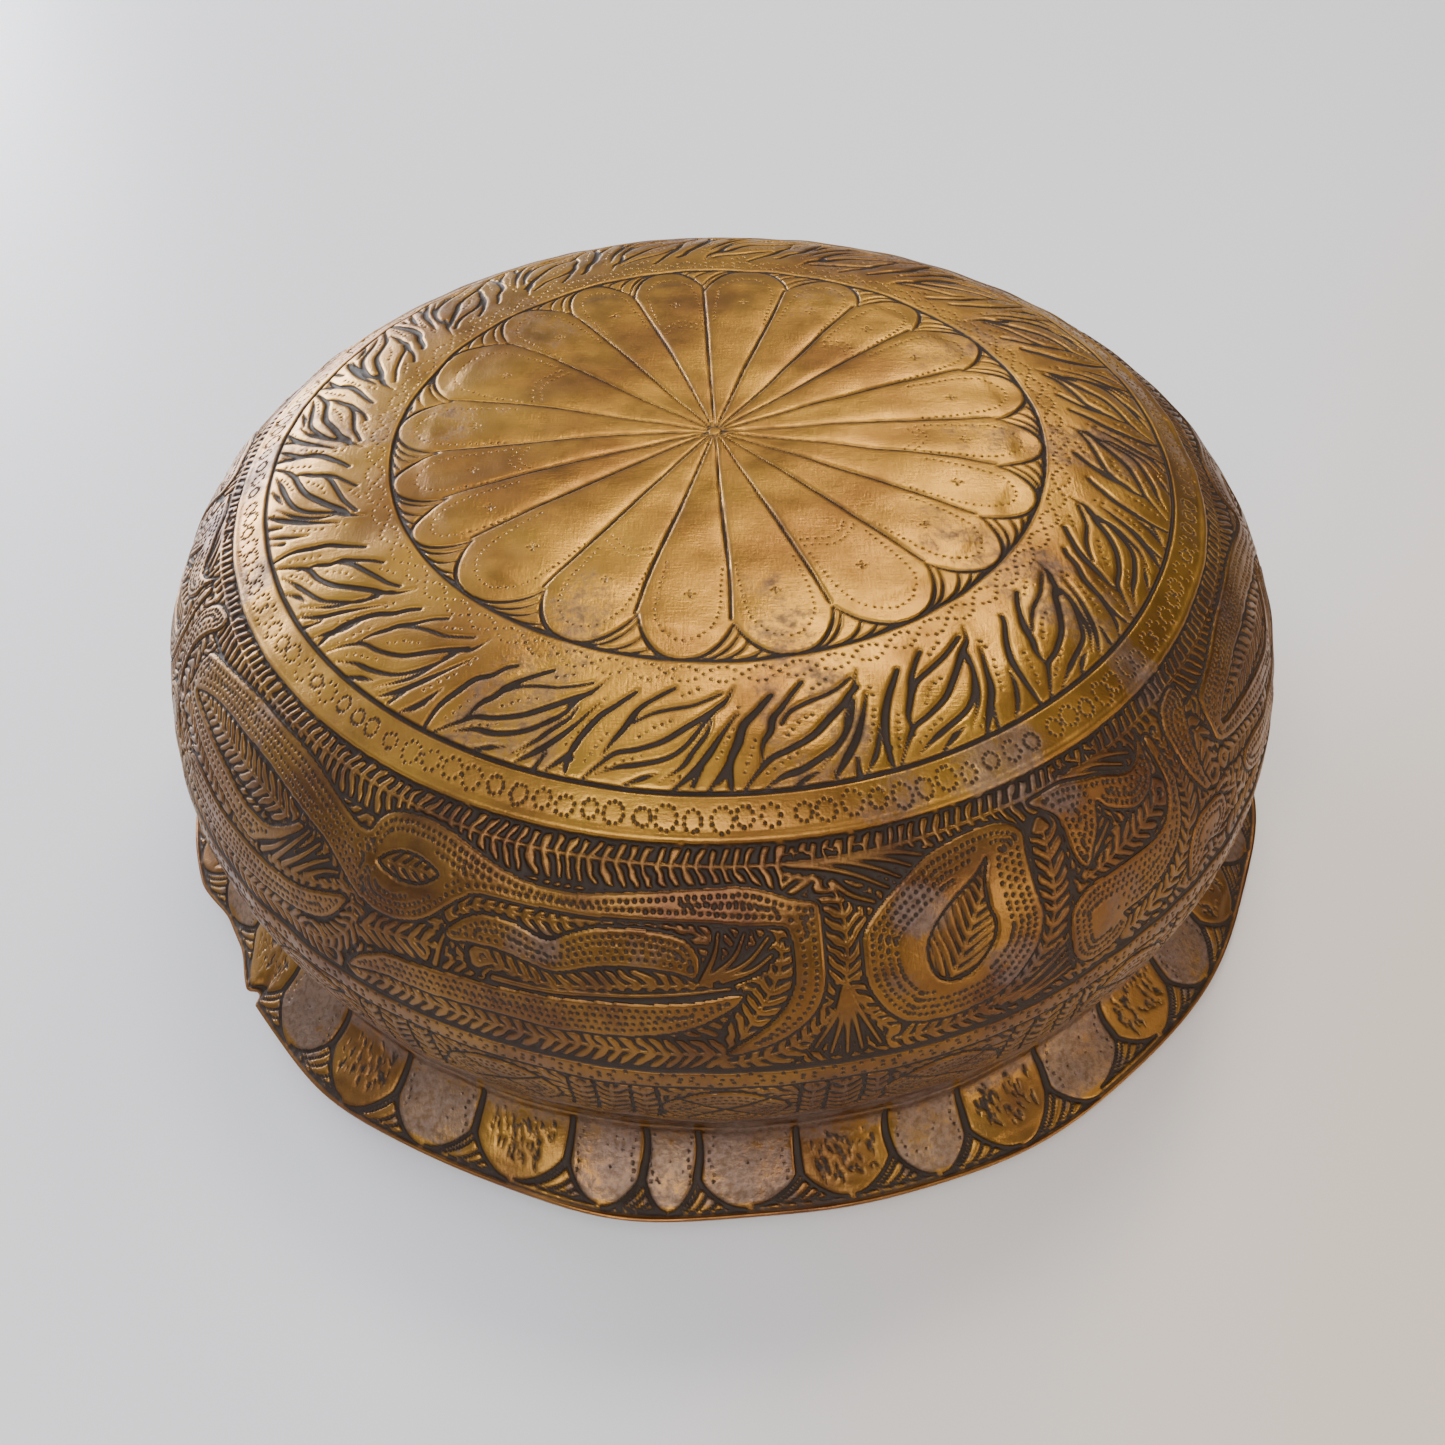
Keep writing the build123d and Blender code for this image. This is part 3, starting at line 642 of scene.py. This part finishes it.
def drawFlange():
    radius = cover["flangeRadius"]
    length = turn * radius
    known = flangeLook["cuts"]
    left = flangeLook["petals"] - len(known) + 1
    rest = known[-1] + (known[0] + length - known[-1]) * np.arange(1, left) / left
    cuts = np.array(list(known) + list(rest + random.normal(0, 0.5, len(rest))))
    cuts = np.append(cuts, known[0] + length)
    low, high = -cover["waist"], flangeEnd - waistLow + 0.4
    plate = Plate(known[0], low, known[0] + length, high, flangeLook["step"], wraps=True)
    x, y = plate.grid()
    petal = np.clip(np.searchsorted(cuts, x) - 1, 0, len(cuts) - 2)
    share = (x - cuts[petal]) / (cuts[petal + 1] - cuts[petal])
    for i in range(len(cuts) - 1):
        a, b = cuts[i], cuts[i + 1]
        w = b - a
        foot = random.uniform(13.2, 14.2)
        before = a - (cuts[i - 1] if i else cuts[-2] - length)
        plate.stroke([(a, 0.0), (a + random.normal(0, 0.3), 4.0), (a, 8.0)], (1.1, 1.35, 1.5))
        apex = random.uniform(7.0, 8.2)
        tent(plate, lambda p, a=a: p + (a, 0), 0.46 * before, 0.46 * w, apex, foot, 5, (0.9, 0.85, 0.7))
        if i % 2 == 0 or w < flangeLook["narrow"]:  # tinned petal, with a row of punch marks down each side
            for f in (0.14, 0.86):
                plate.punch([(a + (f + 0.03 * math.sin(v)) * w, v) for v in np.arange(1.2, 9, 1.25)], 0.27)
            for _ in range(5):
                plate.punch([(a + w * random.uniform(0.25, 0.75), random.uniform(2, 9))], 0.22)
        else:  # brass petal, scored all over with short strokes
            for _ in range(int(w * 3.4)):
                u, v0 = a + w * random.uniform(0.15, 0.85), random.uniform(1.6, 9.6)
                if abs(u - a - w / 2) < w * (0.42 - 0.028 * max(v0 - 4, 0)):
                    end = (u + random.normal(0.25, 0.3), v0 + random.uniform(0.7, 1.9))
                    plate.stroke([(u, v0), end], (0.55, 0.3))
    tinned = (petal % 2 == 0) | (cuts[petal + 1] - cuts[petal] < flangeLook["narrow"])
    edge = smooth(13.4 - y, 0, 1.2) * smooth(0.5 - np.abs(share - 0.5), 0.02, 0.08)
    plate.layers["tin"] = np.where(tinned, 0.95 * edge, 0.8 * smooth(5.5 - y, 0, 4))
    plate.layers["lift"] = 0.22 * (1 - (2 * share - 1) ** 4) * smooth(y, 0.5, 3) * smooth(12.2 - y, 0, 2)
    plate.layers["copper"] = 0.6 * smooth(y, 13.8, 14.4)
    plate.layers["cut"] = np.maximum(plate.layers["cut"], 0.22 - 0.8 * np.abs(y - 14.1))
    # painted shade: the hollow under the waist, where shade falls, gets a dark groove line
    plate.layers["cut"] = np.maximum(plate.layers["cut"], 0.10 - 0.45 * np.abs(y + 1.4))
    print("flange drawn")
    return plate


class Wire:
    # a shader socket that takes part in Python sums
    def __init__(self, finish, socket):
        self.finish, self.socket = finish, socket

    def __add__(self, other):
        return self.finish.math("ADD", self, other)

    def __sub__(self, other):
        return self.finish.math("SUBTRACT", self, other)

    def __rsub__(self, other):
        return self.finish.math("SUBTRACT", other, self)

    def __mul__(self, other):
        return self.finish.math("MULTIPLY", self, other)

    __radd__ = __add__
    __rmul__ = __mul__

    def largest(self, other):
        return self.finish.math("MAXIMUM", self, other)

    def smallest(self, other):
        return self.finish.math("MINIMUM", self, other)

    def between(self, low, high, toLow=0.0, toHigh=1.0):
        # eased from toLow to toHigh while the value goes from low to high
        inputs = {"Value": self, "From Min": low, "From Max": high, "To Min": toLow, "To Max": toHigh}
        return self.finish.node("ShaderNodeMapRange", {"interpolation_type": "SMOOTHSTEP"}, inputs)


class Finish:
    # the nodes of one material or of the world
    def __init__(self, owner):
        self.owner = owner
        owner.use_nodes = True
        self.tree = owner.node_tree
        self.tree.nodes.clear()
        self.place = self.node("ShaderNodeTexCoord", {}, {}, "Object")

    def node(self, kind, settings, inputs, out=0):
        made = self.tree.nodes.new(kind)
        for key, value in settings.items():
            if key == "stops":
                for stop, (position, tint) in zip(made.color_ramp.elements, value):
                    stop.position, stop.color = position, (*tint, 1)
            else:
                setattr(made, key, value)
        for key, value in inputs.items():
            socket = made.inputs[key]
            if isinstance(value, Wire):
                self.tree.links.new(value.socket, socket)
            else:
                socket.default_value = value
        return Wire(self, made.outputs[out]) if made.outputs else None

    def math(self, operation, *values):
        return self.node("ShaderNodeMath", {"operation": operation}, dict(enumerate(values)))

    def split(self, vector):
        made = self.node("ShaderNodeSeparateXYZ", {}, {"Vector": vector}).socket.node
        return [Wire(self, socket) for socket in made.outputs]

    def attribute(self, name):
        return self.node("ShaderNodeAttribute", {"attribute_name": name}, {}, "Fac")

    def noise(self, scale, detail=3.0, rough=0.55, vector=None):
        inputs = {"Vector": vector or self.place, "Scale": scale, "Detail": detail, "Roughness": rough}
        return self.node("ShaderNodeTexNoise", {}, inputs, "Fac")

    def stretched(self, scale, rotation):
        return self.node("ShaderNodeMapping", {}, {"Vector": self.place, "Rotation": rotation,
                                                   "Scale": scale})

    def blend(self, share, first, second, mode="MIX"):
        return self.node("ShaderNodeMix", {"data_type": "RGBA", "blend_type": mode},
                         {"Factor": share, 6: first, 7: second}, 2)

    def bump(self, height, strength, distance, under=None):
        inputs = {"Height": height, "Strength": strength, "Distance": distance}
        if under:
            inputs["Normal"] = under
        return self.node("ShaderNodeBump", {}, inputs)

    def shade(self, base, metallic, rough, normal):
        inputs = {"Base Color": base, "Metallic": metallic, "Roughness": rough, "Normal": normal}
        surface = self.node("ShaderNodeBsdfPrincipled", {}, inputs)
        self.node("ShaderNodeOutputMaterial", {}, {"Surface": surface})
        return self.owner


def newFinish(name):
    return Finish(bpy.data.materials.new(name))


def colour(red, green, blue):
    # an eight-bit screen colour as the linear one that shaders use
    parts = [c / 255 for c in (red, green, blue)]
    return tuple(c / 12.92 if c <= 0.04045 else ((c + 0.055) / 1.055) ** 2.4 for c in parts) + (1.0,)


brass = {"bright": (184, 137, 56), "worn": (146, 102, 48), "brown": (86, 58, 42), "tin": (130, 115, 111),
         "tinDark": (94, 79, 72), "patina": (44, 31, 22), "copper": (136, 88, 58), "rough": 0.33}


def tone(name):
    return colour(*brass[name])


def engravedBrass(name, brownAndShadeShare, copper=False, brightAbove=None):
    f = newFinish(name)
    if brightAbove:  # hands keep everything above that height bright
        # painted light: above that height the brown share, part tarnish and part painted shade, falls to 0.12
        # of itself, so the top band stays bright
        height = f.split(f.place)[2]
        brownAndShadeShare = height.between(brightAbove - 0.0008, brightAbove + 0.0006, brownAndShadeShare, brownAndShadeShare * 0.12)
    cut, dot, tin = f.attribute("cut"), f.attribute("dot"), f.attribute("tin")
    cloud, mottle, grain = f.noise(38, 4), f.noise(160, 4, 0.6), f.noise(900, 3, 0.6)
    fine = f.noise(2600, 2, 0.5)
    worn = f.noise(70, 5, 0.65)
    base = f.blend(cloud.between(0.35, 0.68), tone("bright"), tone("worn"))
    # blended towards brown by random wear and by the given share; on the side that share is partly tarnish
    # and partly painted shade
    base = f.blend((worn.between(0.4, 0.8) * 0.4 + brownAndShadeShare).smallest(1.0), base, tone("brown"))
    base = f.blend(mottle.between(0.55, 0.8) * 0.28, base, tone("brown"))
    # tin is left in patches with ragged edges
    tinHere = (tin + (mottle - 0.5) * 1.5 + (grain - 0.5) * 1.3 - 0.45).between(0.0, 0.6)
    tinHere = tinHere * tin.between(0.02, 0.35)
    tinTint = f.blend(grain.between(0.35, 0.7), tone("tin"), tone("tinDark"))
    base = f.blend(tinHere * 0.66, base, tinTint)
    if copper:
        base = f.blend(f.attribute("copper") * 0.7, base, tone("copper"))
    # dark patina keeps to the grooves and thins out over their edges
    stain = cut.between(-0.5, 0.05) * 0.30 * mottle.between(0.3, 0.7)
    deep = (cut + (grain - 0.5) * 0.12).between(-0.04, 0.14)
    mark = (dot + (fine - 0.5) * 0.06).between(-0.16, 0.08)
    dark = deep.largest(mark * 0.92).largest(stain)
    base = f.blend(dark, base, tone("patina"))
    rough = brass["rough"] + mottle.between(0.3, 0.75) * 0.14 + tinHere * 0.14 + dark * 0.3
    scratches = (f.noise(420, 2, 0.5, f.stretched((1, 7, 1), (0, 0, 0.5)))
                 + f.noise(420, 2, 0.5, f.stretched((6, 1, 2), (0, 0.3, 1.9))))
    normal = f.bump(f.noise(90, 2, 0.5), 0.25, 0.0011)
    normal = f.bump(scratches, 0.18, 0.0002, normal)
    normal = f.bump(grain + fine * 0.5 + tinHere * grain, 0.22, 0.0002, normal)
    normal = f.bump(cut.between(-0.12, 0.25).largest(dot.between(-0.18, 0.15)) * -1.0, 0.8, 0.0003, normal)
    return f.shade(base, 1.0 - dark * 0.7, rough, normal)


def wrapSheet(name, across, down, place, look, inner=False, weld=False):
    # a flat grid bent onto the cover: place gives its points and its drawing's layers
    bm = bmesh.new()
    bmesh.ops.create_grid(bm, x_segments=across, y_segments=down, size=0.5)
    mesh = bpy.data.meshes.new(name)
    bm.to_mesh(mesh)
    bm.free()
    flat = np.empty(len(mesh.vertices) * 3)
    mesh.vertices.foreach_get("co", flat)
    a, b = flat.reshape(-1, 3)[:, 0] + 0.5, flat.reshape(-1, 3)[:, 1] + 0.5
    points, layers = place(a, b)
    mesh.vertices.foreach_set("co", (points * mm).astype(np.float32).ravel())
    for key, values in layers.items():
        mesh.attributes.new(key, "FLOAT", "POINT").data.foreach_set("value", values.astype(np.float32))
    bm = bmesh.new()
    bm.from_mesh(mesh)
    if weld:
        bmesh.ops.remove_doubles(bm, verts=bm.verts[:], dist=0.00002)
    bmesh.ops.recalc_face_normals(bm, faces=bm.faces[:])
    bm.faces.ensure_lookup_table()
    sample = bm.faces[len(bm.faces) // 3]
    insideCover = Vector((0, 0, 0.03))
    outwards = sample.normal.dot(sample.calc_center_median() - insideCover)
    if (outwards < 0) != inner:
        bmesh.ops.reverse_faces(bm, faces=bm.faces[:])
    bm.to_mesh(mesh)
    bm.free()
    mesh.polygons.foreach_set("use_smooth", [True] * len(mesh.polygons))
    piece = bpy.data.objects.new(name, mesh)
    bpy.context.scene.collection.objects.link(piece)
    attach(piece, "cover")
    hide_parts("cover_shell")
    mesh.materials.append(look)
    print(name, len(mesh.polygons), "faces")


relief = {"groove": 0.42, "punch": 0.22, "hammer": 0.10, "sag": 0.16}  # depths and heights in millimetres
grids = {"rosette": (306, 306), "leaves": (1200, 62), "side": (360, 236), "flange": (1560, 58),
         "lining": (180, 90)}
# how far each part's brass is blended towards brown: tarnish, and on the side also painted shade for the dark
# surroundings it reflects
tarnishAndShade = {"crown": -0.12, "side": 0.66, "flange": 0.5, "brightAbove": 0.0722}  # a height in metres


def liftOf(layers, lift, points):
    # how far each spot stands from the plain face, in millimetres
    return (lift - relief["groove"] * smooth(layers["cut"], -0.25, 0.45)
            - relief["punch"] * smooth(layers["dot"], -0.2, 0.3)
            + relief["hammer"] * ripple(points, 11.0, 3) + relief["sag"] * ripple(points, 34.0, 4))


def readLayers(plate, x, y, names=("cut", "dot", "tin")):
    return {name: plate.sample(x, y, name) for name in names}


def crownPoints(plate, x, y):
    theta, v = np.arctan2(y, x), alongOfRadius(np.maximum(np.hypot(x, y), 0.001))
    layers = readLayers(plate, x, y)
    return placeOn(theta, v, liftOf(layers, plate.sample(x, y, "lift"), placeOn(theta, v, 0 * v))), layers


def makeCrown():
    plate = drawCrown()
    look = engravedBrass("crownBrass", tarnishAndShade["crown"])
    inner, outer = rosette["radius"], leafBand["outer"]

    def disc(a, b):
        # square grid eased out to a circle
        x, y = 2 * a - 1, 2 * b - 1
        return crownPoints(plate, x * np.sqrt(1 - y * y / 2) * inner, y * np.sqrt(1 - x * x / 2) * inner)

    def leaves(a, b):
        theta, r = turn * a, inner + (outer - inner) * b
        return crownPoints(plate, r * np.cos(theta), r * np.sin(theta))

    wrapSheet("coverRosette", *grids["rosette"], disc, look)
    wrapSheet("coverLeafBand", *grids["leaves"], leaves, look, weld=True)


def makeSides():
    plate = drawFrieze()
    look = engravedBrass("friezeBrass", tarnishAndShade["side"], brightAbove=tarnishAndShade["brightAbove"])
    span = turn / sideSheets
    first = frieze["start"] / cover["sideRadius"] - math.pi / 2
    vTop = alongOfRadius(leafBand["outer"])
    for k in range(sideSheets):
        def sixth(a, b):
            theta = first + k * span + span * a
            v = vTop + (waistTop - vTop) * b
            u = frieze["start"] + turn * cover["sideRadius"] / sideSheets * (a + k % 2)
            layers = readLayers(plate, u, v)
            # the crown's last line runs down into the border
            layers["cut"] = np.maximum(layers["cut"], 0.42 - np.abs(v - vTop))
            lift = liftOf(layers, plate.sample(u, v, "lift"), placeOn(theta, v, 0 * v))
            lift += frieze["burr"] * smooth(1.2 - np.abs(v + 0.8), 0, 1.2)
            lift *= smooth(waistTop - v, 0, 2)  # meets the flange
            return placeOn(theta, v, lift), layers
        wrapSheet(f"coverSide{k + 1}", *grids["side"], sixth, look)


def makeFlange():
    plate = drawFlange()
    look = engravedBrass("flangeBrass", tarnishAndShade["flange"], copper=True)
    around, sheet = turn * cover["flangeRadius"], cover["sheet"]
    outerShare, rimShare = flangeLook["outerShare"], flangeLook["rimShare"]
    hidden = {"cut": -2, "dot": -2, "tin": 0.8, "copper": 0}  # layers where the sheet is turned under

    def ring(a, b):
        theta = turn * a - math.pi / 2
        u = around * a
        v = waistTop + (flangeEnd - waistTop) * np.minimum(b / outerShare, 1)
        layers = readLayers(plate, u, v - waistLow, hidden)
        lift = liftOf(layers, plate.sample(u, v - waistLow, "lift"), placeOn(theta, v, 0 * v))
        lift *= smooth(v - waistTop, 0, 2)
        # past the rim the sheet turns under and runs back up inside
        back = np.clip((b - outerShare) / (1 - outerShare), 0, 1)
        turned = back > 0
        under = flangeEnd - flangeLook["turnedUnder"] * np.clip((back - rimShare) / (1 - rimShare), 0, 1)
        v = np.where(turned, under, v)
        rim = np.clip(back / rimShare, 0, 1) * math.pi
        lift = np.where(turned, np.where(back < rimShare, -sheet * (1 - np.cos(rim)) / 2, -sheet), lift)
        points = placeOn(theta, v, lift)
        edgeRound = np.where(turned & (back < rimShare), flangeLook["rimRound"] * np.sin(rim), 0)
        away = np.stack([np.cos(theta), np.sin(theta), 0 * theta], 1)
        points += away * edgeRound[:, None]
        past = turned & (back > rimShare)
        layers = {key: np.where(past, hidden[key], layer) for key, layer in layers.items()}
        # old knocks push the rim in
        uFront = (u + around / 2) % around - around / 2
        push = sum(depth * smooth(half - np.abs(uFront - spot), 0, fade)
                   for spot, half, fade, depth in flangeLook["knocks"])
        push += flangeLook["wobble"] * ripple(points[:, :2], 40, 9)
        points -= away * (push * smooth(v - waistLow, 3, 14))[:, None]
        return points, layers

    wrapSheet("coverFlange", *grids["flange"], ring, look, weld=True)


def makeLining():
    low, high = waistLow + 3, 0.001 - lengths(crown)[-1]

    def inside(a, b):
        v = low - (low - high) * b
        points = placeOn(turn * a, v, -cover["sheet"] + 0 * v)
        points[b > 0.9999, :2] = 0  # closes at the middle
        return points, {"cut": -2 + 0 * v, "dot": -2 + 0 * v, "tin": 1 + 0 * v}

    wrapSheet("coverLining", *grids["lining"], inside, tinnedSheet("liningTin"), inner=True, weld=True)


def spunBrass(name, centre, bright, dark, rings=900, tinned=0.0, rough=0.3):
    # turned on a wheel: fine rings round its own centre
    f = newFinish(name)
    middle = (centre[0], centre[1], 0)
    moved = f.node("ShaderNodeVectorMath", {"operation": "SUBTRACT"}, {0: f.place, 1: middle})
    px, py, pz = f.split(moved)
    line = f.node("ShaderNodeCombineXYZ", {}, {"X": f.math("SQRT", px * px + py * py), "Y": pz, "Z": 0.0})
    turning = f.noise(rings, 4, 0.6, line)
    cloud, mottle, grain = f.noise(60, 4), f.noise(210, 4, 0.6), f.noise(1400, 3)
    base = f.blend(cloud.between(0.35, 0.7), colour(*bright), colour(*dark))
    base = f.blend(mottle.between(0.5, 0.8) * 0.4, base, tone("brown"))
    base = f.blend(turning.between(0.35, 0.7) * 0.25, base, colour(*dark))
    if tinned:
        share = ((cloud - 0.5) * 1.6 + (mottle - 0.5) * 1.2 + (grain - 0.5) + tinned).between(-0.1, 0.8)
        base = f.blend(share * 0.85, base, f.blend(grain.between(0.3, 0.7), tone("tin"), tone("tinDark")))
    normal = f.bump(turning, 0.5, 0.00012)
    normal = f.bump(f.noise(120, 2), 0.3, 0.0008, normal)
    normal = f.bump(grain, 0.25, 0.0002, normal)
    return f.shade(base, 1.0, rough + mottle.between(0.3, 0.8) * 0.2, normal)


def tinnedSheet(name):
    # wiped tin with brass showing through where it is worn
    f = newFinish(name)
    cloud, mottle, grain = f.noise(45, 5, 0.6), f.noise(230, 4, 0.6), f.noise(1500, 3)
    wipe = f.noise(120, 4, 0.6, f.stretched((1, 5, 1), (0, 0, 0.8)))
    base = f.blend(wipe.between(0.35, 0.7), tone("tin"), tone("tinDark"))
    base = f.blend(((cloud - 0.5) * 2 + (mottle - 0.5)).between(0.15, 0.6) * 0.8, base, tone("worn"))
    normal = f.bump(f.noise(110, 2), 0.35, 0.0011)
    normal = f.bump(grain + wipe, 0.3, 0.0002, normal)
    return f.shade(base, 0.9, 0.36 + mottle.between(0.3, 0.75) * 0.22, normal)


def filedBrass(name, bright, dark, fileMarks=0.4):
    # filed and rubbed by hand: short crossing marks, with darker patches at random
    f = newFinish(name)
    cloud, mottle, grain = f.noise(140, 4), f.noise(420, 4, 0.6), f.noise(1900, 3)
    marks = (f.noise(700, 3, 0.6, f.stretched((8, 1, 1), (0, 0, 0.3)))
             + f.noise(700, 3, 0.6, f.stretched((1, 6, 3), (0, 0, 1.1))))
    base = f.blend(cloud.between(0.35, 0.7), colour(*bright), colour(*dark))
    base = f.blend(mottle.between(0.52, 0.8) * 0.5, base, tone("brown"))
    normal = f.bump(marks, fileMarks, 0.0002)
    normal = f.bump(grain + mottle, 0.3, 0.0002, normal)
    return f.shade(base, 1.0, 0.3 + mottle.between(0.3, 0.8) * 0.2, normal)


# the brass of the hidden pieces: bright and dark tint
innerBrass = {"plain": ((204, 154, 76), (170, 120, 58)), "cup": ((222, 174, 92), (190, 138, 66))}


def finishNodes():
    # the pieces under the cover keep their shape and get their own finishes
    axis = (0, 0)
    plain, cup = innerBrass["plain"], innerBrass["cup"]
    looks = {"cover_bezel": spunBrass("bezelBrass", axis, *plain, rings=700),
             "base_pan": spunBrass("panTinnedBrass", axis, *plain, rings=500, tinned=0.5, rough=0.36),
             "base_foot_ring": spunBrass("footRingBrass", axis, *plain, rings=800),
             "base_seat_ring": spunBrass("seatRingBrass", axis, *plain, rings=800),
             "inner_lid": spunBrass("lidTinnedBrass", axis, *plain, rings=420, tinned=0.4, rough=0.34),
             "inner_lid_band": spunBrass("lidBandBrass", axis, *plain, rings=900),
             "inner_lid_knob": spunBrass("knobBrass", axis, *cup, rings=1500),
             "knob_washer": spunBrass("washerBrass", axis, *plain, rings=1600),
             "knob_rivet": filedBrass("knobRivetBrass", *cup),
             "spoon_rivets": filedBrass("spoonRivetBrass", *cup),
             "spoon_bowl": filedBrass("spoonBowlBrass", *cup, 0.3),
             "spoon_handle": filedBrass("spoonHandleBrass", *plain, 0.6)}
    for name in ["centre_cup"] + [f"outer_cup_{k}" for k in range(1, 7)]:
        low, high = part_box(name)
        looks[name] = spunBrass(name.replace("_", "") + "Brass", (low + high) / 2, *cup, rings=1000,
                                rough=0.28)
    for name, material in looks.items():
        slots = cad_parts[name].material_slots
        for slot in slots:
            slot.material = material
        if not slots:
            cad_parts[name].data.materials.append(material)
    print("finishes on", len(looks), "nodes")


# floor tints as screen colours, a cool and a warm one as painted light; sky tints are plain light
room = {"floor": ((236, 237, 243), (236, 220, 202)), "floorHalf": 2.5, "floorRough": 0.45,
        "sky": (0.80, 0.86, 0.96), "horizon": (0.30, 0.27, 0.26), "skyPower": 0.62,
        "leftTint": (1.25, 1.32, 1.45), "rightTint": (0.62, 0.56, 0.50)}

# name, place, what it points at, width and height, power and tint
lights = [("windowBack", (0.11, 0.57, 1.16), (0, 0, 0.07), (0.40, 0.20), 5.0, (1.0, 0.90, 0.74)),
          ("windowRight", (0.34, 0.84, 0.90), (0, 0, 0.07), (0.18, 0.26), 2.4, (1.0, 0.90, 0.74)),
          ("lowLeftWindow", (-0.95, 1.02, 0.26), (0, 0, 0.05), (0.8, 0.42), 30, (0.93, 0.95, 1.0)),
          ("softLeft", (-1.3, 0.1, 0.75), (0, 0, 0.05), (0.9, 0.9), 1.5, (0.88, 0.93, 1.0)),
          ("frontSoft", (-0.25, -1.25, 1.5), (0, 0, 0.05), (1.5, 1.1), 28, (1.0, 0.96, 0.90)),
          ("warmRight", (1.2, -0.3, 0.6), (0, 0, 0.05), (0.6, 0.6), 2, (1.0, 0.84, 0.68)),
          ("lowFrontRight", (1.05, -0.90, 0.24), (0, 0, 0.05), (0.55, 0.36), 4, (1.0, 0.88, 0.72))]


def makeFloor():
    bm = bmesh.new()
    bmesh.ops.create_grid(bm, x_segments=8, y_segments=8, size=room["floorHalf"])
    mesh = bpy.data.meshes.new("floor")
    bm.to_mesh(mesh)
    bm.free()
    floor = bpy.data.objects.new("floor", mesh)
    bpy.context.scene.collection.objects.link(floor)
    f = newFinish("paleFloor")
    across, away = f.split(f.place)[:2]
    # painted light: the floor goes from a cool tint on the left to a warm one on the right, standing in for
    # coloured light falling on it
    warmLightShare = (across - away * 0.6 + (f.noise(2.5, 3) - 0.5) * 0.1).between(0.02, 0.24)
    base = f.blend(warmLightShare, colour(*room["floor"][0]), colour(*room["floor"][1]))
    mesh.materials.append(f.shade(base, 0.0, room["floorRough"], f.bump(f.noise(60, 2), 0.05, 0.001)))


def makeSky():
    sky = Finish(bpy.data.worlds.new("studio"))
    bpy.context.scene.world = sky.owner
    x, y, z = sky.split(sky.node("ShaderNodeTexCoord", {}, {}, "Generated"))
    glow = sky.node("ShaderNodeValToRGB", {"stops": [(0.02, room["horizon"]), (0.75, room["sky"])]}, {0: z})
    # cooler and brighter on one side, warmer and darker on the other
    sideways = sky.node("ShaderNodeMapRange", {}, {"Value": x, "From Min": -0.8, "From Max": 0.8})
    tint = sky.blend(sideways, (*room["leftTint"], 1), (*room["rightTint"], 1))
    inputs = {"Color": sky.blend(1.0, glow, tint, "MULTIPLY"), "Strength": room["skyPower"]}
    sky.node("ShaderNodeOutputWorld", {}, {"Surface": sky.node("ShaderNodeBackground", {}, inputs)})


def makeLights():
    for name, place, target, size, power, tint in lights:
        data = bpy.data.lights.new(name, "AREA")
        data.shape, data.size, data.size_y = "RECTANGLE", size[0], size[1]
        data.energy, data.color = power, tint
        lamp = bpy.data.objects.new(name, data)
        lamp.location = place
        lamp.rotation_euler = (Vector(target) - Vector(place)).to_track_quat("-Z", "Y").to_euler()
        bpy.context.scene.collection.objects.link(lamp)
    print("room made")


# angles in degrees, distance and target in millimetres as the cover's are
view = {"elevation": 46.12, "roll": -1.24, "distance": 319.5, "target": (-0.20, 0.0, 7.37), "lens": 37.37,
        "sensor": 36.0, "clip": (0.01, 20)}


def makeCamera():
    tilt, roll = math.radians(view["elevation"]), math.radians(view["roll"])
    back = Vector((0, -math.cos(tilt), math.sin(tilt)))
    right, up = Vector((1, 0, 0)), Vector((0, math.sin(tilt), math.cos(tilt)))
    c, s = math.cos(roll), math.sin(roll)
    axes = (right * c + up * s, up * c - right * s, back)
    place = (Vector(view["target"]) + back * view["distance"]) * mm
    data = bpy.data.cameras.new("camera")
    data.lens, data.sensor_width = view["lens"], view["sensor"]
    data.clip_start, data.clip_end = view["clip"]
    camera = bpy.data.objects.new("camera", data)
    rows = [[*(axis[row] for axis in axes), place[row]] for row in range(3)]
    camera.matrix_world = Matrix(rows + [[0, 0, 0, 1]])
    bpy.context.scene.collection.objects.link(camera)
    bpy.context.scene.camera = camera
    print("camera placed")


makeCamera()
makeFloor()
makeSky()
makeLights()
makeCrown()
makeSides()
makeFlange()
makeLining()
finishNodes()
